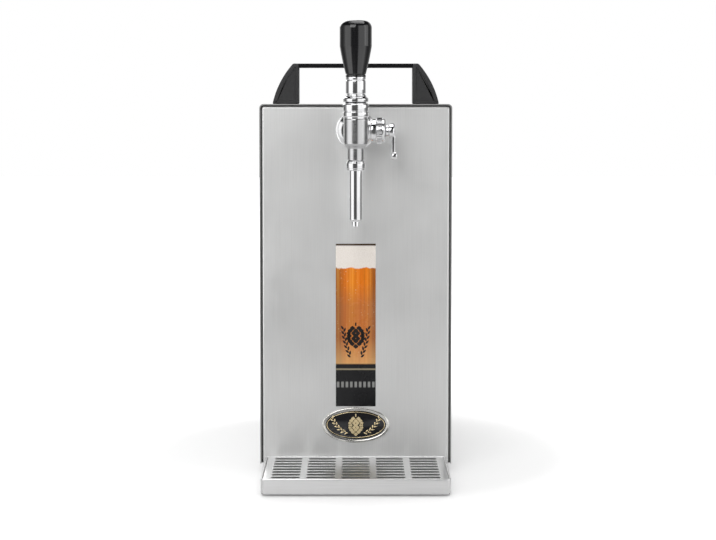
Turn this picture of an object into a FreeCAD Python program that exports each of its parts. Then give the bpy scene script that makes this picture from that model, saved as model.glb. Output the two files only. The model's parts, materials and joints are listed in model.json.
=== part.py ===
import FreeCAD, Part
import math
import os
from FreeCAD import Vector

# Counter-top dry-cooling beer dispenser: a narrow stainless cabinet that chills a beer line on
# its way from a keg to a compensator tap on the front, with a lift-out drip tray below the tap.
# Millimetres. X runs to the right, Y runs away from the person pouring, Z is up. The origin is
# on the table, midway across the width and midway between drip tray front and rear fittings.

# Cabinet sheet metal
cabinet_width = 178.0
cabinet_depth = 250.0
cabinet_height = 335.0
sheet = 1.0
cover_bend = 4.0
panel_gap = 1.4
panel_recess = 0.6
panel_bend = 1.6
panel_corner = 2.0
panel_flange = 12.0
base_flange = 14.0

# Rubber feet
foot_height = 8.0
foot_radius = 11.0
foot_taper = 1.5
foot_inset = 24.0

# Cooling slots in the two sides, in the rear panel and in the base
vent_rows = 8
vent_length = 134.0
vent_height = 4.0
vent_pitch = 12.0
vent_centre_height = 98.0
grille_rows = 10
grille_slot_length = 120.0
grille_slot_height = 5.0
grille_pitch = 13.0
grille_below_controls = 23.0
base_vent_rows = 5
base_vent_length = 60.0
base_vent_width = 5.0
base_vent_pitch = 14.0

# Carrying handle: a bent steel strap between two moulded brackets
handle_width = 28.0
handle_inner_span = 113.0
handle_foot_width = 26.0
handle_waist_width = 19.5
handle_crown_width = 5.5
handle_rise = 40.0
handle_waist_rise = 19.0
strap_thickness = 4.0
strap_width = 24.0
strap_leg_thickness = 2.0
strap_leg_length = 24.0
strap_leg_cover = 1.4
handle_clearance = 0.2
handle_edge = 1.2
handle_screw_radius = 2.4
handle_screw_head_radius = 4.6
handle_screw_head_height = 2.8
handle_screw_spacing = 15.0
handle_screw_depth = 9.0

# Small screws of the cabinet skins
skin_screw_head_radius = 3.4
skin_screw_head_height = 1.2
skin_screw_radius = 1.6
skin_screw_length = 5.0
cover_screw_inset = 28.0
panel_screw_span = 110.0

# Tap: shank and fixings through the front panel
shank_below_top = 24.0
shank_radius = 9.5
shank_bore = 5.2
shank_inner_length = 24.0
shank_clearance = 0.3
flange_radius = 18.4
flange_thickness = 7.0
flange_rim = 2.0
flange_nose_radius = 12.5
shank_nut_flats = 27.0
shank_nut_thickness = 6.0
coupling_nut_radius = 14.0
coupling_nut_front = 27.0
coupling_nut_rear = 13.0
coupling_nut_chamfer = 1.2
thread_clearance = 0.1

# Tap body, measured from the vertical axis of the spout
tap_reach = 60.0
boss_radius = 10.5
boss_end = 22.0
body_radius = 11.0
body_rise = 11.0
body_drop = 14.5
neck_radius = 7.5
neck_taper = 3.0
neck_drop = 26.0
spigot_radius = 7.0
spigot_length = 3.0
outlet_bore = 4.0

# Lever, its bonnet and the piston that it drives
pivot_rise = 12.0
lever_forward = 25.0
lever_back = 12.0
lever_neck_radius = 2.6
lever_drum_radius = 6.0
lever_drum_half_width = 5.2
bonnet_radius = 11.8
bonnet_skirt_radius = 11.0
bonnet_bore = 8.2
bonnet_roof = 9.5
dome_radius = 16.4
dome_clearance = 0.4
cap_angle = 36.0
cap_radius = 11.1
cap_top = 18.0
ferrule_radius = 8.75
ferrule_top = 35.8
ferrule_groove = 0.5
tail_length = 11.5
tail_radius = 1.6
roller_radius = 3.2
roller_half_width = 2.4
slot_clearance = 0.5
piston_radius = 5.0
piston_clearance = 0.2
piston_front = 5.0
piston_rear = 8.0
piston_floor = 1.6

# Knob on the lever
knob_height = 49.7
knob_foot_radius = 8.9
knob_belly_radius = 14.2
knob_belly_start = 27.0
knob_belly_end = 43.2
knob_flare_bow = 0.3
knob_crown_radius = 7.6
knob_socket_depth = 14.0
knob_stud_radius = 3.0

# Compensator on the right of the tap body
compensator_setback = 21.0
barrel_radius = 10.5
barrel_end = 18.0
barrel_cap_radius = 11.5
barrel_cap_end = 27.0
spindle_radius = 4.0
spindle_clearance = 0.15
hub_neck_radius = 5.5
hub_neck_length = 2.4
hub_radius = 6.6
hub_length = 6.0
arm_thickness = 3.4
arm_width = 7.0
arm_length = 22.5
tip_radius = 4.0
tip_length = 5.4
crank_throw = 2.5
crank_pin_radius = 1.2
crank_slack = 0.7
cone_radius = 4.7
cone_nose_radius = 2.2
cone_body_length = 9.0
cone_length = 34.0
cone_clearance = 0.3

# Spout
spout_nut_radius = 8.8
spout_nut_height = 9.0
spout_nut_chamfer = 1.0
spout_seal_thickness = 1.2
spout_flange_thickness = 1.8
spout_flange_radius = 6.9
spout_radius = 5.9
spout_bore = 4.3
spout_length = 48.5
spout_funnel = 3.0
spout_shoulder = 1.2
spout_tip_length = 6.2
spout_tip_root_radius = 3.7
spout_tip_radius = 3.2
spout_tip_bore = 2.3

# Drip tray with its slotted grid
tray_width = 167.0
tray_depth = 95.0
tray_height = 14.3
tray_gap = 0.3
tray_corner = 4.0
tray_sheet = 1.0
tray_pad_height = 1.2
tray_pad_radius = 5.0
tray_pad_inset = 14.0
tray_tongue_width = 26.0
tray_tongue_length = 22.0
tray_tongue_span = 70.0
tray_tongue_clearance = 0.3
grid_clearance = 0.8
grid_sheet = 1.0
grid_below_rim = 0.8
grid_seat_inset = 7.0
grid_seat_foot = 3.6
grid_seat_radius = 2.6
grid_columns = 5
grid_rows = 8
grid_slot_length = 25.5
grid_slot_width = 6.4
grid_pitch_x = 31.0
grid_pitch_y = 10.8

# Printed label and raised badge on the front panel
label_width = 37.0
label_height = 152.0
label_foot_height = 61.8
label_thickness = 0.4
badge_half_width = 31.4
badge_half_height = 16.6
badge_thickness = 2.4
badge_edge = 0.8
badge_centre_height = 44.6

# Insulated cold box on its shelf behind the front panel
shelf_height = 106.0
shelf_flange = 10.0
cold_box_width = 140.0
cold_box_depth = 92.0
cold_box_height = 176.0
cold_box_wall = 18.0
cold_box_setback = 14.0
cold_lid_thickness = 16.0
cold_block_margin = 0.5

# Refrigeration set at the rear
compressor_radius = 45.0
compressor_edge = 6.0
compressor_side_room = 9.0
compressor_height = 104.0
compressor_setback = 172.0
compressor_foot_width = 118.0
compressor_foot_depth = 84.0
compressor_foot_thickness = 3.0
compressor_foot_bolt_inset = 11.0
grommet_radius = 8.0
grommet_height = 12.0
stub_radius = 4.5
stub_length = 12.0
pipe_radius = 3.2
pipe_bend = 9.0
condenser_side_room = 22.0
condenser_height = 132.0
condenser_depth = 22.0
condenser_fins = 8
condenser_fin_thickness = 1.4
condenser_tubes = 3
condenser_tube_height = 4.0
condenser_side_thickness = 2.0
shroud_depth = 16.0
shroud_ring_radius = 52.0
shroud_wall = 2.0
fan_radius = 48.0
fan_hub_radius = 15.0
fan_hub_length = 14.0
fan_blades = 5
fan_blade_thickness = 1.8
fan_blade_chord = 30.0
fan_blade_pitch = 32.0
fan_shaft_radius = 2.5
motor_radius = 20.0
motor_length = 26.0
motor_gap = 3.0
motor_strap_width = 14.0

# Air pump that pushes the beer out of the keg
pump_width = 62.0
pump_depth = 58.0
pump_height = 34.0
pump_head_radius = 19.0
pump_head_height = 18.0
pump_setback = 22.0
pump_foot_margin = 8.0
pump_foot_thickness = 3.0
pump_port_radius = 4.5
pump_port_length = 7.0

# Services on the rear panel
fitting_reach = 21.0
fitting_radius = 9.5
fitting_flange_radius = 12.5
fitting_flange_thickness = 3.0
fitting_tail_length = 14.0
fitting_nut_thickness = 5.0
fitting_nut_flats = 22.0
beer_tube_radius = 4.85
air_tube_radius = 4.1
collet_wall = 1.3
collet_clearance = 0.15
collet_lip_radius = 7.6
collet_lip_thickness = 1.6
collet_depth = 13.0
collet_travel = 1.5
fitting_spacing = 36.0
thermostat_inset = 42.0
thermostat_below_top = 34.0
thermostat_width = 36.0
thermostat_height = 30.0
thermostat_depth = 26.0
thermostat_stem_radius = 3.0
knob_dial_radius = 16.0
knob_dial_thickness = 13.0
knob_dial_gap = 0.8
knob_dial_grip = 5.0
knob_dial_core = 9.0
dial_skirt_thickness = 3.0
switch_offset = 14.0
switch_spacing = 34.0
switch_width = 15.0
switch_height = 21.0
switch_frame_rim = 2.0
switch_frame_reach = 2.0
switch_body_depth = 18.0
rocker_gap = 0.5
rocker_angle = 12.0
rocker_reach = 3.0
rocker_dip = 0.6
rocker_undercut = 3.2
rocker_edge = 0.6
rocker_depth = 5.0
rocker_pin_radius = 1.2
rocker_pin_length = 1.2
inlet_inset = 42.0
inlet_centre_height = 58.0
inlet_width = 27.0
inlet_height = 20.0
inlet_rim = 10.5
inlet_reach = 3.0
inlet_body_depth = 22.0
inlet_cavity_depth = 18.0
inlet_pin_length = 12.0
inlet_pin_spacing = 7.0
inlet_pin_step = 4.0
inlet_pin_width = 2.0
inlet_pin_height = 4.0

# Flats round a turned piece, a pipe, a small fixing and the badge; chords in a pipe's bend;
# bands over the bonnet's dome and along the knob's flare and crown
round_sides = 16
pipe_sides = 8
fixing_sides = 6
bend_chords = 3
oval_sides = 28
dome_bands = 2
knob_bands = 3

UP = Vector(0, 0, 1)
BACK = Vector(0, 1, 0)
RIGHT = Vector(1, 0, 0)

# Main planes of the object, worked out from the sizes above
overall_depth = tray_depth + tray_gap + cabinet_depth + fitting_reach
front_y = tray_depth + tray_gap - overall_depth / 2
rear_y = front_y + cabinet_depth
base_z = foot_height
floor_z = base_z + sheet
top_z = foot_height + cabinet_height
inner_x = cabinet_width / 2 - sheet
panel_y = front_y + panel_recess
panel_inner_y = panel_y + sheet
rear_face_y = rear_y - panel_recess
rear_inner_y = rear_face_y - sheet
tap_y = panel_y - tap_reach
shank_z = top_z - shank_below_top
pivot_z = shank_z + pivot_rise
controls_z = top_z - thermostat_below_top
condenser_top = controls_z - thermostat_height / 2 - grille_below_controls
condenser_width = 2 * (inner_x - condenser_side_room)
grille_centre_height = condenser_top - condenser_height / 2
thermostat_offset = inner_x - thermostat_inset
inlet_offset = inlet_inset - inner_x
fitting_offset = compressor_radius + compressor_side_room


def block(x0, x1, y0, y1, z0, z1):
    """Square-edged solid between two corners."""
    return Part.makeBox(x1 - x0, y1 - y0, z1 - z0, Vector(x0, y0, z0))


def along(edge, direction):
    """True where an edge is straight and runs along a direction."""
    start, end = edge.Vertexes[0].Point, edge.Vertexes[-1].Point
    return (end - start).cross(direction).Length < 1e-6 and edge.Length > 1e-6


def rounded_block(x0, x1, y0, y1, z0, z1, direction, radius):
    """Block whose four edges along one direction are rounded."""
    solid = block(x0, x1, y0, y1, z0, z1)
    return solid.makeFillet(radius, [e for e in solid.Edges if along(e, direction)])


def polygon(radius, sides):
    """Corners of a regular polygon about the origin."""
    step = 2 * math.pi / sides
    return [Vector(radius * math.cos(i * step), radius * math.sin(i * step), 0) for i in range(sides)]


def rod(radius, start, end, sides=round_sides):
    """Bar between two points, round but for its narrow flats."""
    run = end - start
    return placed(prism(polygon(radius, sides), UP * run.Length), start, run)


def seat_rod(radius, start, end):
    """Truly round bar, for the faces that take a tube or carry a hose."""
    return Part.makeCylinder(radius, (end - start).Length, start, end - start)


def placed(shape, foot, axis):
    """Shape drawn about the origin along Z, moved to a foot point and turned to an axis."""
    shape.Placement = FreeCAD.Placement(foot, FreeCAD.Rotation(UP, axis))
    return shape


def turned(profile, foot, axis=UP, sides=round_sides):
    """Solid of revolution from a closed profile of (radius, height) points, in narrow flats."""
    rings = [[corner + UP * height for corner in polygon(radius, sides)] for radius, height in profile]
    faces = []
    for this, other in zip(rings, rings[1:] + rings[:1]):
        for i in range(sides):
            corners = []
            for corner in (this[i - 1], this[i], other[i], other[i - 1]):
                if all((corner - seen).Length > 1e-6 for seen in corners):
                    corners.append(corner)
            if len(corners) > 2:
                faces.append(Part.Face(Part.makePolygon(corners + corners[:1])))
    solid = Part.Solid(Part.makeShell(faces)).removeSplitter()
    if solid.Volume < 0:
        solid.reverse()
    return placed(solid, foot, axis)


def prism(points, push):
    """Straight extrusion of a flat polygon."""
    return Part.Face(Part.makePolygon(points + points[:1])).extrude(push)


def hex_prism(flats, thickness, foot, axis):
    """Hexagonal bar, sized across its flats."""
    return rod(flats / math.sqrt(3), foot, foot + axis * thickness, 6)


def ring(outer, inner, length, foot, axis):
    """Plain round ring."""
    return turned([(inner, 0), (outer, 0), (outer, length), (inner, length)], foot, axis)


def pipe_run(points, radius, bend):
    """Pipe along straight runs joined by bends of one radius, in short chords."""
    path = [points[0]]
    for before, corner, after in zip(points, points[1:], points[2:]):
        arriving = (corner - before).normalize()
        leaving = (after - corner).normalize()
        turn = arriving.getAngle(leaving)
        setback = bend * math.tan(turn / 2)
        centre = corner - arriving * setback + (leaving - arriving * math.cos(turn)).normalize() * bend
        spoke = corner - arriving * setback - centre
        for i in range(bend_chords + 1):
            angle = turn * i / bend_chords
            path.append(centre + spoke * math.cos(angle) + arriving * bend * math.sin(angle))
    path.append(points[-1])
    section = Part.makePolygon(polygon(radius, pipe_sides) + polygon(radius, pipe_sides)[:1])
    section = placed(section, points[0], points[1] - points[0])
    right_corner = 1
    return Part.makePolygon(path).makePipeShell([section], True, False, right_corner)


def fused(first, *others):
    """One solid from several that overlap or share a face, with leftover seams removed."""
    return first.fuse(list(others)).removeSplitter()


def centred(count, pitch):
    """Evenly spaced positions, symmetrical about zero."""
    return [(i - (count - 1) / 2) * pitch for i in range(count)]


# Cabinet skins


def cabinet_cover():
    """Top and two sides in one folded sheet, with cooling slots and screw holes low in the sides."""
    outer = block(-cabinet_width / 2, cabinet_width / 2, front_y, rear_y, base_z, top_z)
    edges = [e for e in outer.Edges if along(e, BACK) and e.BoundBox.ZMin > top_z - sheet]
    outer = outer.makeFillet(cover_bend, edges)
    inner = block(-inner_x, inner_x, front_y - sheet, rear_y + sheet, base_z - sheet, top_z - sheet)
    edges = [e for e in inner.Edges if along(e, BACK) and e.BoundBox.ZMin > top_z - 2 * sheet]
    cover = outer.cut(inner.makeFillet(cover_bend - sheet, edges))
    middle_y = (front_y + rear_y) / 2
    for dz in centred(vent_rows, vent_pitch):
        z = vent_centre_height + dz
        cover = cover.cut(block(
            -cabinet_width, cabinet_width, middle_y - vent_length / 2, middle_y + vent_length / 2,
            z - vent_height / 2, z + vent_height / 2,
        ))
    cover = cover.cut(screw_holes())
    for x, y in handle_screw_places():
        cover = cover.cut(rod(handle_screw_radius + handle_clearance, Vector(x, y, top_z - 2 * sheet),
                              Vector(x, y, top_z + sheet), fixing_sides))
    return cover


def screw_seats():
    """Seat and outward direction of every small cabinet screw."""
    inset = (front_y + cover_screw_inset, rear_y - cover_screw_inset)
    flange_z = floor_z + base_flange / 2
    sides = [
        (Vector(side * cabinet_width / 2, y, flange_z), RIGHT * side)
        for side in (-1, 1) for y in inset
    ]
    under = [
        (Vector(side * panel_screw_span / 2, y, base_z), -UP)
        for side in (-1, 1)
        for y in (panel_y + panel_flange / 2, rear_face_y - panel_flange / 2)
    ]
    inlet = [
        (Vector(x, rear_face_y + inlet_reach, inlet_centre_height), BACK)
        for x in inlet_screw_places()
    ]
    return sides + under + inlet


def inlet_screw_places():
    """Sideways positions of the two screws of the mains inlet."""
    reach = inlet_width / 2 + inlet_rim / 2
    return inlet_offset - reach, inlet_offset + reach


def screw_holes():
    """Cutter for the holes of all small cabinet screws."""
    return Part.makeCompound([
        rod(skin_screw_radius + thread_clearance, foot + axis, foot - axis * (skin_screw_length + 1),
            fixing_sides)
        for foot, axis in screw_seats()
    ])


def skin_screw(foot, axis):
    """Pan-head screw seated at foot, its head standing out along axis."""
    head = rod(skin_screw_head_radius, foot, foot + axis * skin_screw_head_height, pipe_sides)
    return fused(head, rod(skin_screw_radius, foot, foot - axis * skin_screw_length, fixing_sides))


def cabinet_screws():
    """Screws of the cover, the two panels and the mains inlet."""
    return Part.makeCompound([skin_screw(foot, axis) for foot, axis in screw_seats()])


def folded_panel(outer_y, inward):
    """Flat panel with all edges folded inwards; inward is +1 at the front, -1 behind."""
    half = inner_x - panel_gap
    top = top_z - sheet - panel_gap
    y0, y1 = sorted((outer_y, outer_y + inward * panel_flange))
    pan = block(-half, half, y0, y1, floor_z, top)
    corners = [e for e in pan.Edges if along(e, BACK) and e.BoundBox.ZMin > top - sheet]
    pan = pan.makeFillet(panel_corner, corners)
    rim = [
        e for e in pan.Edges
        if abs(e.BoundBox.YMin - outer_y) < 1e-6 and abs(e.BoundBox.YMax - outer_y) < 1e-6
        and e.BoundBox.ZMax > floor_z + sheet
    ]
    pan = pan.makeFillet(panel_bend, rim)
    y0, y1 = sorted((outer_y + inward * sheet, outer_y + inward * 2 * panel_flange))
    hollow = block(-half + sheet, half - sheet, y0, y1, floor_z + sheet, top - sheet)
    return pan.cut([hollow, screw_holes()])


def front_panel():
    """Plain front with the hole for the tap shank."""
    hole = rod(shank_radius + shank_clearance, Vector(0, panel_y - sheet, shank_z),
               Vector(0, panel_y + 2 * sheet, shank_z))
    return folded_panel(panel_y, 1).cut(hole)


def base_pan():
    """Floor sheet that both panels stand on, with side flanges and cooling slots."""
    y0, y1 = panel_y, rear_face_y
    pan = block(-inner_x, inner_x, y0, y1, base_z, floor_z)
    for side in (-1, 1):
        x0, x1 = sorted((side * inner_x, side * (inner_x - sheet)))
        flange = block(x0, x1, y0 + panel_flange + sheet, y1 - panel_flange - sheet, base_z,
                       floor_z + base_flange)
        pan = fused(pan, flange)
    pan = pan.cut(screw_holes())
    for dy in centred(base_vent_rows, base_vent_pitch):
        y = compressor_y() + dy
        pan = pan.cut(block(-base_vent_length / 2, base_vent_length / 2, y - base_vent_width / 2,
                            y + base_vent_width / 2, base_z - sheet, floor_z + sheet))
    return pan


def rubber_feet():
    """Four round rubber feet under the base."""
    profile = [(0, 0), (foot_radius - foot_taper, 0), (foot_radius, foot_height), (0, foot_height)]
    x = cabinet_width / 2 - foot_inset
    return Part.makeCompound([
        turned(profile, Vector(side * x, y, 0))
        for side in (-1, 1) for y in (front_y + foot_inset, rear_y - foot_inset)
    ])


# Carrying handle


def handle_y():
    """The handle stands over the middle of the cabinet's depth."""
    return (front_y + rear_y) / 2


def handle_screw_places():
    """Screws up through the cabinet top, two into each bracket."""
    x = (handle_inner_span + handle_foot_width) / 2 + strap_leg_thickness
    return [
        (side * x, handle_y() + dy) for side in (-1, 1)
        for dy in centred(2, handle_screw_spacing)
    ]


def strap_leg_x():
    """Inner face of the strap's turned-down leg, measured from the middle."""
    return handle_inner_span / 2 + strap_leg_cover


def handle_bar():
    """Flat steel strap with both ends turned down inside the brackets."""
    y0, y1 = handle_y() - strap_width / 2, handle_y() + strap_width / 2
    top = top_z + handle_rise
    half = strap_leg_x() + strap_leg_thickness
    bar = block(-half, half, y0, y1, top - strap_thickness, top)
    long_edges = [e for e in bar.Edges if along(e, RIGHT)]
    bar = bar.makeFillet(strap_thickness / 3, long_edges)
    for side in (-1, 1):
        x0, x1 = sorted((side * strap_leg_x(), side * half))
        leg = block(x0, x1, y0 + strap_thickness / 3, y1 - strap_thickness / 3,
                    top - strap_thickness - strap_leg_length, top - strap_thickness / 2)
        bar = fused(bar, leg)
    return bar


def handle_bracket(side):
    """Moulded bracket: upright inside face, bowed outside face, pocket for the strap."""
    y0 = handle_y() - handle_width / 2
    inner, top = side * handle_inner_span / 2, top_z + handle_rise
    foot_in = Vector(inner, y0, top_z)
    foot_out = Vector(inner + side * handle_foot_width, y0, top_z)
    crown_in = Vector(inner, y0, top)
    crown_out = Vector(inner + side * handle_crown_width, y0, top)
    middle = Vector(inner + side * handle_waist_width, y0, top_z + handle_waist_rise)
    outline = Part.Wire([
        Part.makeLine(foot_in, foot_out), Part.Arc(foot_out, middle, crown_out).toShape(),
        Part.makeLine(crown_out, crown_in), Part.makeLine(crown_in, foot_in),
    ])
    bracket = Part.Face(outline).extrude(BACK * handle_width)
    upright = [e for e in bracket.Edges if along(e, UP)]
    bracket = bracket.makeFillet(handle_edge, upright)
    gap = handle_clearance
    x0, x1 = sorted((side * (strap_leg_x() - gap),
                     side * (strap_leg_x() + strap_leg_thickness + gap)))
    pocket_y = strap_width / 2 + gap
    pocket = block(x0, x1, handle_y() - pocket_y, handle_y() + pocket_y,
                   top - strap_thickness - strap_leg_length - gap, top + 1)
    x0, x1 = sorted((side * (handle_inner_span / 2 - sheet),
                     side * (strap_leg_x() + strap_leg_thickness + gap)))
    seat = block(x0, x1, handle_y() - pocket_y, handle_y() + pocket_y,
                 top - strap_thickness, top + 1)
    bracket = bracket.cut([pocket, seat])
    for x, y in handle_screw_places():
        if x * side > 0:
            bracket = bracket.cut(rod(handle_screw_radius + thread_clearance, Vector(x, y, top_z - 1),
                                      Vector(x, y, top_z + handle_screw_depth), fixing_sides))
    return bracket


def handle_screws():
    """Four screws, driven from inside the cabinet top."""
    screws = []
    under = top_z - sheet
    for x, y in handle_screw_places():
        head = rod(handle_screw_head_radius, Vector(x, y, under - handle_screw_head_height),
                   Vector(x, y, under), pipe_sides)
        shaft = rod(handle_screw_radius, Vector(x, y, under - sheet),
                    Vector(x, y, top_z + handle_screw_depth - sheet), fixing_sides)
        screws.append(fused(head, shaft))
    return Part.makeCompound(screws)


# Tap


def tap_shank():
    """Threaded tube that carries the tap and leads the beer through the panel."""
    return ring(shank_radius, shank_bore, boss_end + shank_inner_length,
                Vector(0, panel_y - boss_end, shank_z), BACK)


def tap_flange():
    """Coned rosette that hides the shank hole."""
    inner = shank_radius + thread_clearance
    profile = [(inner, 0), (flange_radius, 0), (flange_radius, flange_rim),
               (flange_nose_radius, flange_thickness), (inner, flange_thickness)]
    return turned(profile, Vector(0, panel_y, shank_z), -BACK)


def shank_nut():
    """Hexagonal back nut inside the front panel."""
    foot = Vector(0, panel_inner_y, shank_z)
    nut = hex_prism(shank_nut_flats, shank_nut_thickness, foot, BACK)
    return nut.cut(rod(shank_radius + thread_clearance, foot - BACK * sheet,
                       foot + BACK * 2 * shank_nut_thickness))


def coupling_nut():
    """Round union nut that pulls the tap body onto the shank."""
    length = coupling_nut_front - coupling_nut_rear
    step = coupling_nut_front - boss_end
    wide, narrow = boss_radius + thread_clearance, shank_radius + thread_clearance
    edge = coupling_nut_chamfer
    profile = [
        (wide, 0), (coupling_nut_radius - edge, 0), (coupling_nut_radius, edge),
        (coupling_nut_radius, length - edge), (coupling_nut_radius - edge, length),
        (narrow, length), (narrow, step), (wide, step),
    ]
    return turned(profile, Vector(0, panel_y - coupling_nut_front, shank_z), BACK)


def lever_swing_space(top, bottom):
    """Wedge that a bar of the lever sweeps about the pivot, from bottom to top height above it."""
    play = lever_neck_radius / math.cos(math.radians(lever_forward)) + dome_clearance
    ahead, behind = math.tan(math.radians(lever_forward)), math.tan(math.radians(lever_back))

    def at(height):
        near = -(height * ahead if height > 0 else -height * behind) - play
        far = (height * behind if height > 0 else -height * ahead) + play
        return near, far

    low, high = at(bottom), at(top)
    half = lever_neck_radius + dome_clearance
    corners = [
        Vector(-half, tap_y + low[0], pivot_z + bottom), Vector(-half, tap_y + low[1], pivot_z + bottom),
        Vector(-half, tap_y + high[1], pivot_z + top), Vector(-half, tap_y + high[0], pivot_z + top),
    ]
    return prism(corners, RIGHT * 2 * half)


def tap_body():
    """Cast body: upright barrel, rear boss to the shank, side boss for the compensator."""
    top, bottom = shank_z + body_rise, shank_z - body_drop
    neck_end = shank_z - neck_drop
    upright = turned([
        (0, neck_end - spigot_length), (spigot_radius, neck_end - spigot_length),
        (spigot_radius, neck_end), (neck_radius, neck_end),
        (neck_radius, bottom), (body_radius, bottom + neck_taper), (body_radius, top), (0, top),
    ], Vector(0, tap_y, 0))
    boss = rod(boss_radius, Vector(0, tap_y, shank_z), Vector(0, panel_y - boss_end, shank_z))
    side_y = tap_y + compensator_setback
    side = rod(barrel_radius, Vector(0, side_y, shank_z), Vector(body_radius, side_y, shank_z))
    body = fused(upright, boss, side)
    bore = piston_radius + piston_clearance
    body = body.cut(rod(bonnet_bore, Vector(0, tap_y, pivot_z - lever_drum_radius - dome_clearance),
                        Vector(0, tap_y, top + sheet)))
    body = body.cut(rod(bore, Vector(0, tap_y - body_radius + 2 * sheet, shank_z),
                        Vector(0, panel_y - boss_end + sheet, shank_z)))
    body = body.cut(rod(outlet_bore, Vector(0, tap_y, neck_end - 2 * spigot_length),
                        Vector(0, tap_y, shank_z)))
    body = body.cut(roller_swing_space())
    return body.cut(rod(spindle_radius + spindle_clearance, Vector(0, side_y, shank_z),
                        Vector(body_radius + sheet, side_y, shank_z)))


def roller_swing_space():
    """Slot above the piston bore in which the lever's tail and roller swing."""
    reach_ahead = tail_length * math.sin(math.radians(lever_forward)) + roller_radius
    reach_behind = tail_length * math.sin(math.radians(lever_back)) + roller_radius
    half = roller_half_width + dome_clearance
    return block(-half, half, tap_y - reach_behind - slot_clearance,
                 tap_y + reach_ahead + slot_clearance,
                 pivot_z - tail_length - roller_radius - slot_clearance,
                 pivot_z - lever_drum_radius + sheet)


def on_sphere(radius, first, last):
    """Points of a circle about the pivot, between two angles from upright."""
    angles = [math.radians(first + (last - first) * i / dome_bands) for i in range(dome_bands + 1)]
    return [(radius * math.sin(a), radius * math.cos(a)) for a in angles]


def tap_bonnet():
    """Ring nut with a domed roof that the lever's cap slides over, slotted for the lever."""
    foot = shank_z + body_rise - pivot_z
    edge = math.degrees(math.asin(bonnet_radius / dome_radius))
    profile = [
        (bonnet_bore, foot), (bonnet_skirt_radius, foot),
        (bonnet_radius, foot + bonnet_radius - bonnet_skirt_radius),
        *on_sphere(dome_radius, edge, 0), (0, bonnet_roof), (bonnet_bore, bonnet_roof),
    ]
    bonnet = turned(profile, Vector(0, tap_y, pivot_z))
    return bonnet.cut(lever_swing_space(dome_radius + sheet, 0))


def tap_lever():
    """Lever: chrome ferrule and cap above, pivot drum, and a tail with a roller in the piston."""
    start = math.degrees(math.asin(lever_neck_radius / (dome_radius + dome_clearance)))
    chord = math.radians((cap_angle - start) / dome_bands)
    flat = math.pi / round_sides
    underside = on_sphere((dome_radius + dome_clearance) / math.cos(chord / 2) / math.cos(flat),
                          start, cap_angle)
    groove = ferrule_groove
    profile = [
        (0, 0), (lever_neck_radius, 0), *underside,
        (cap_radius, underside[-1][1] + groove), (cap_radius, cap_top - 2 * groove),
        (ferrule_radius + groove, cap_top), (ferrule_radius, cap_top + groove),
        (ferrule_radius, ferrule_top), (knob_stud_radius, ferrule_top),
        (knob_stud_radius, ferrule_top + knob_socket_depth - sheet),
        (0, ferrule_top + knob_socket_depth - sheet),
    ]
    pivot = Vector(0, tap_y, pivot_z)
    drum = rod(lever_drum_radius, pivot - RIGHT * lever_drum_half_width,
               pivot + RIGHT * lever_drum_half_width)
    tail_end = pivot - UP * tail_length
    tail = rod(tail_radius, pivot, tail_end)
    roller = rod(roller_radius, tail_end - RIGHT * roller_half_width,
                 tail_end + RIGHT * roller_half_width)
    return fused(turned(profile, pivot), drum, tail, roller)


def tap_knob():
    """Bulbous black grip, screwed on the lever's stud."""
    flare = knob_belly_radius - knob_foot_radius
    fall = knob_belly_radius - knob_crown_radius
    shares = [i / knob_bands for i in range(knob_bands + 1)]
    sides = [(knob_foot_radius + flare * t + 4 * knob_flare_bow * t * (1 - t), knob_belly_start * t)
             for t in shares]
    crown = [(knob_belly_radius - fall * (1 - math.sqrt(1 - t * t)),
              knob_belly_end + (knob_height - knob_belly_end) * t) for t in shares]
    profile = [
        *sides, *crown, (0, knob_height), (0, knob_socket_depth),
        (knob_stud_radius + thread_clearance, knob_socket_depth),
        (knob_stud_radius + thread_clearance, 0),
    ]
    return turned(profile, Vector(0, tap_y, pivot_z + ferrule_top))


def tap_piston():
    """Sliding valve piston with a cross slot for the lever's roller."""
    piston = rod(piston_radius, Vector(0, tap_y - piston_front, shank_z),
                 Vector(0, tap_y + piston_rear, shank_z))
    half = roller_half_width + slot_clearance
    reach = roller_radius + slot_clearance
    slot = block(-half, half, tap_y - reach, tap_y + reach, shank_z - piston_radius + piston_floor,
                 shank_z + piston_radius + sheet)
    return piston.cut(slot)


def compensator_y():
    """Depth of the compensator's cross axis."""
    return tap_y + compensator_setback


def compensator_barrel():
    """Round housing of the flow control on the side of the tap."""
    bore = spindle_radius + spindle_clearance
    length = barrel_end - body_radius
    profile = [(bore, 0), (barrel_radius, 0), (barrel_radius, length), (bore, length)]
    return turned(profile, Vector(body_radius, compensator_y(), shank_z), RIGHT)


def compensator_cap():
    """Knurled cap nut of the flow control."""
    bore = spindle_radius + spindle_clearance
    length, edge = barrel_cap_end - barrel_end, coupling_nut_chamfer
    profile = [
        (bore, 0), (barrel_cap_radius - edge, 0), (barrel_cap_radius, edge),
        (barrel_cap_radius, length - edge), (barrel_cap_radius - edge, length), (bore, length),
    ]
    return turned(profile, Vector(barrel_end, compensator_y(), shank_z), RIGHT)


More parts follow.
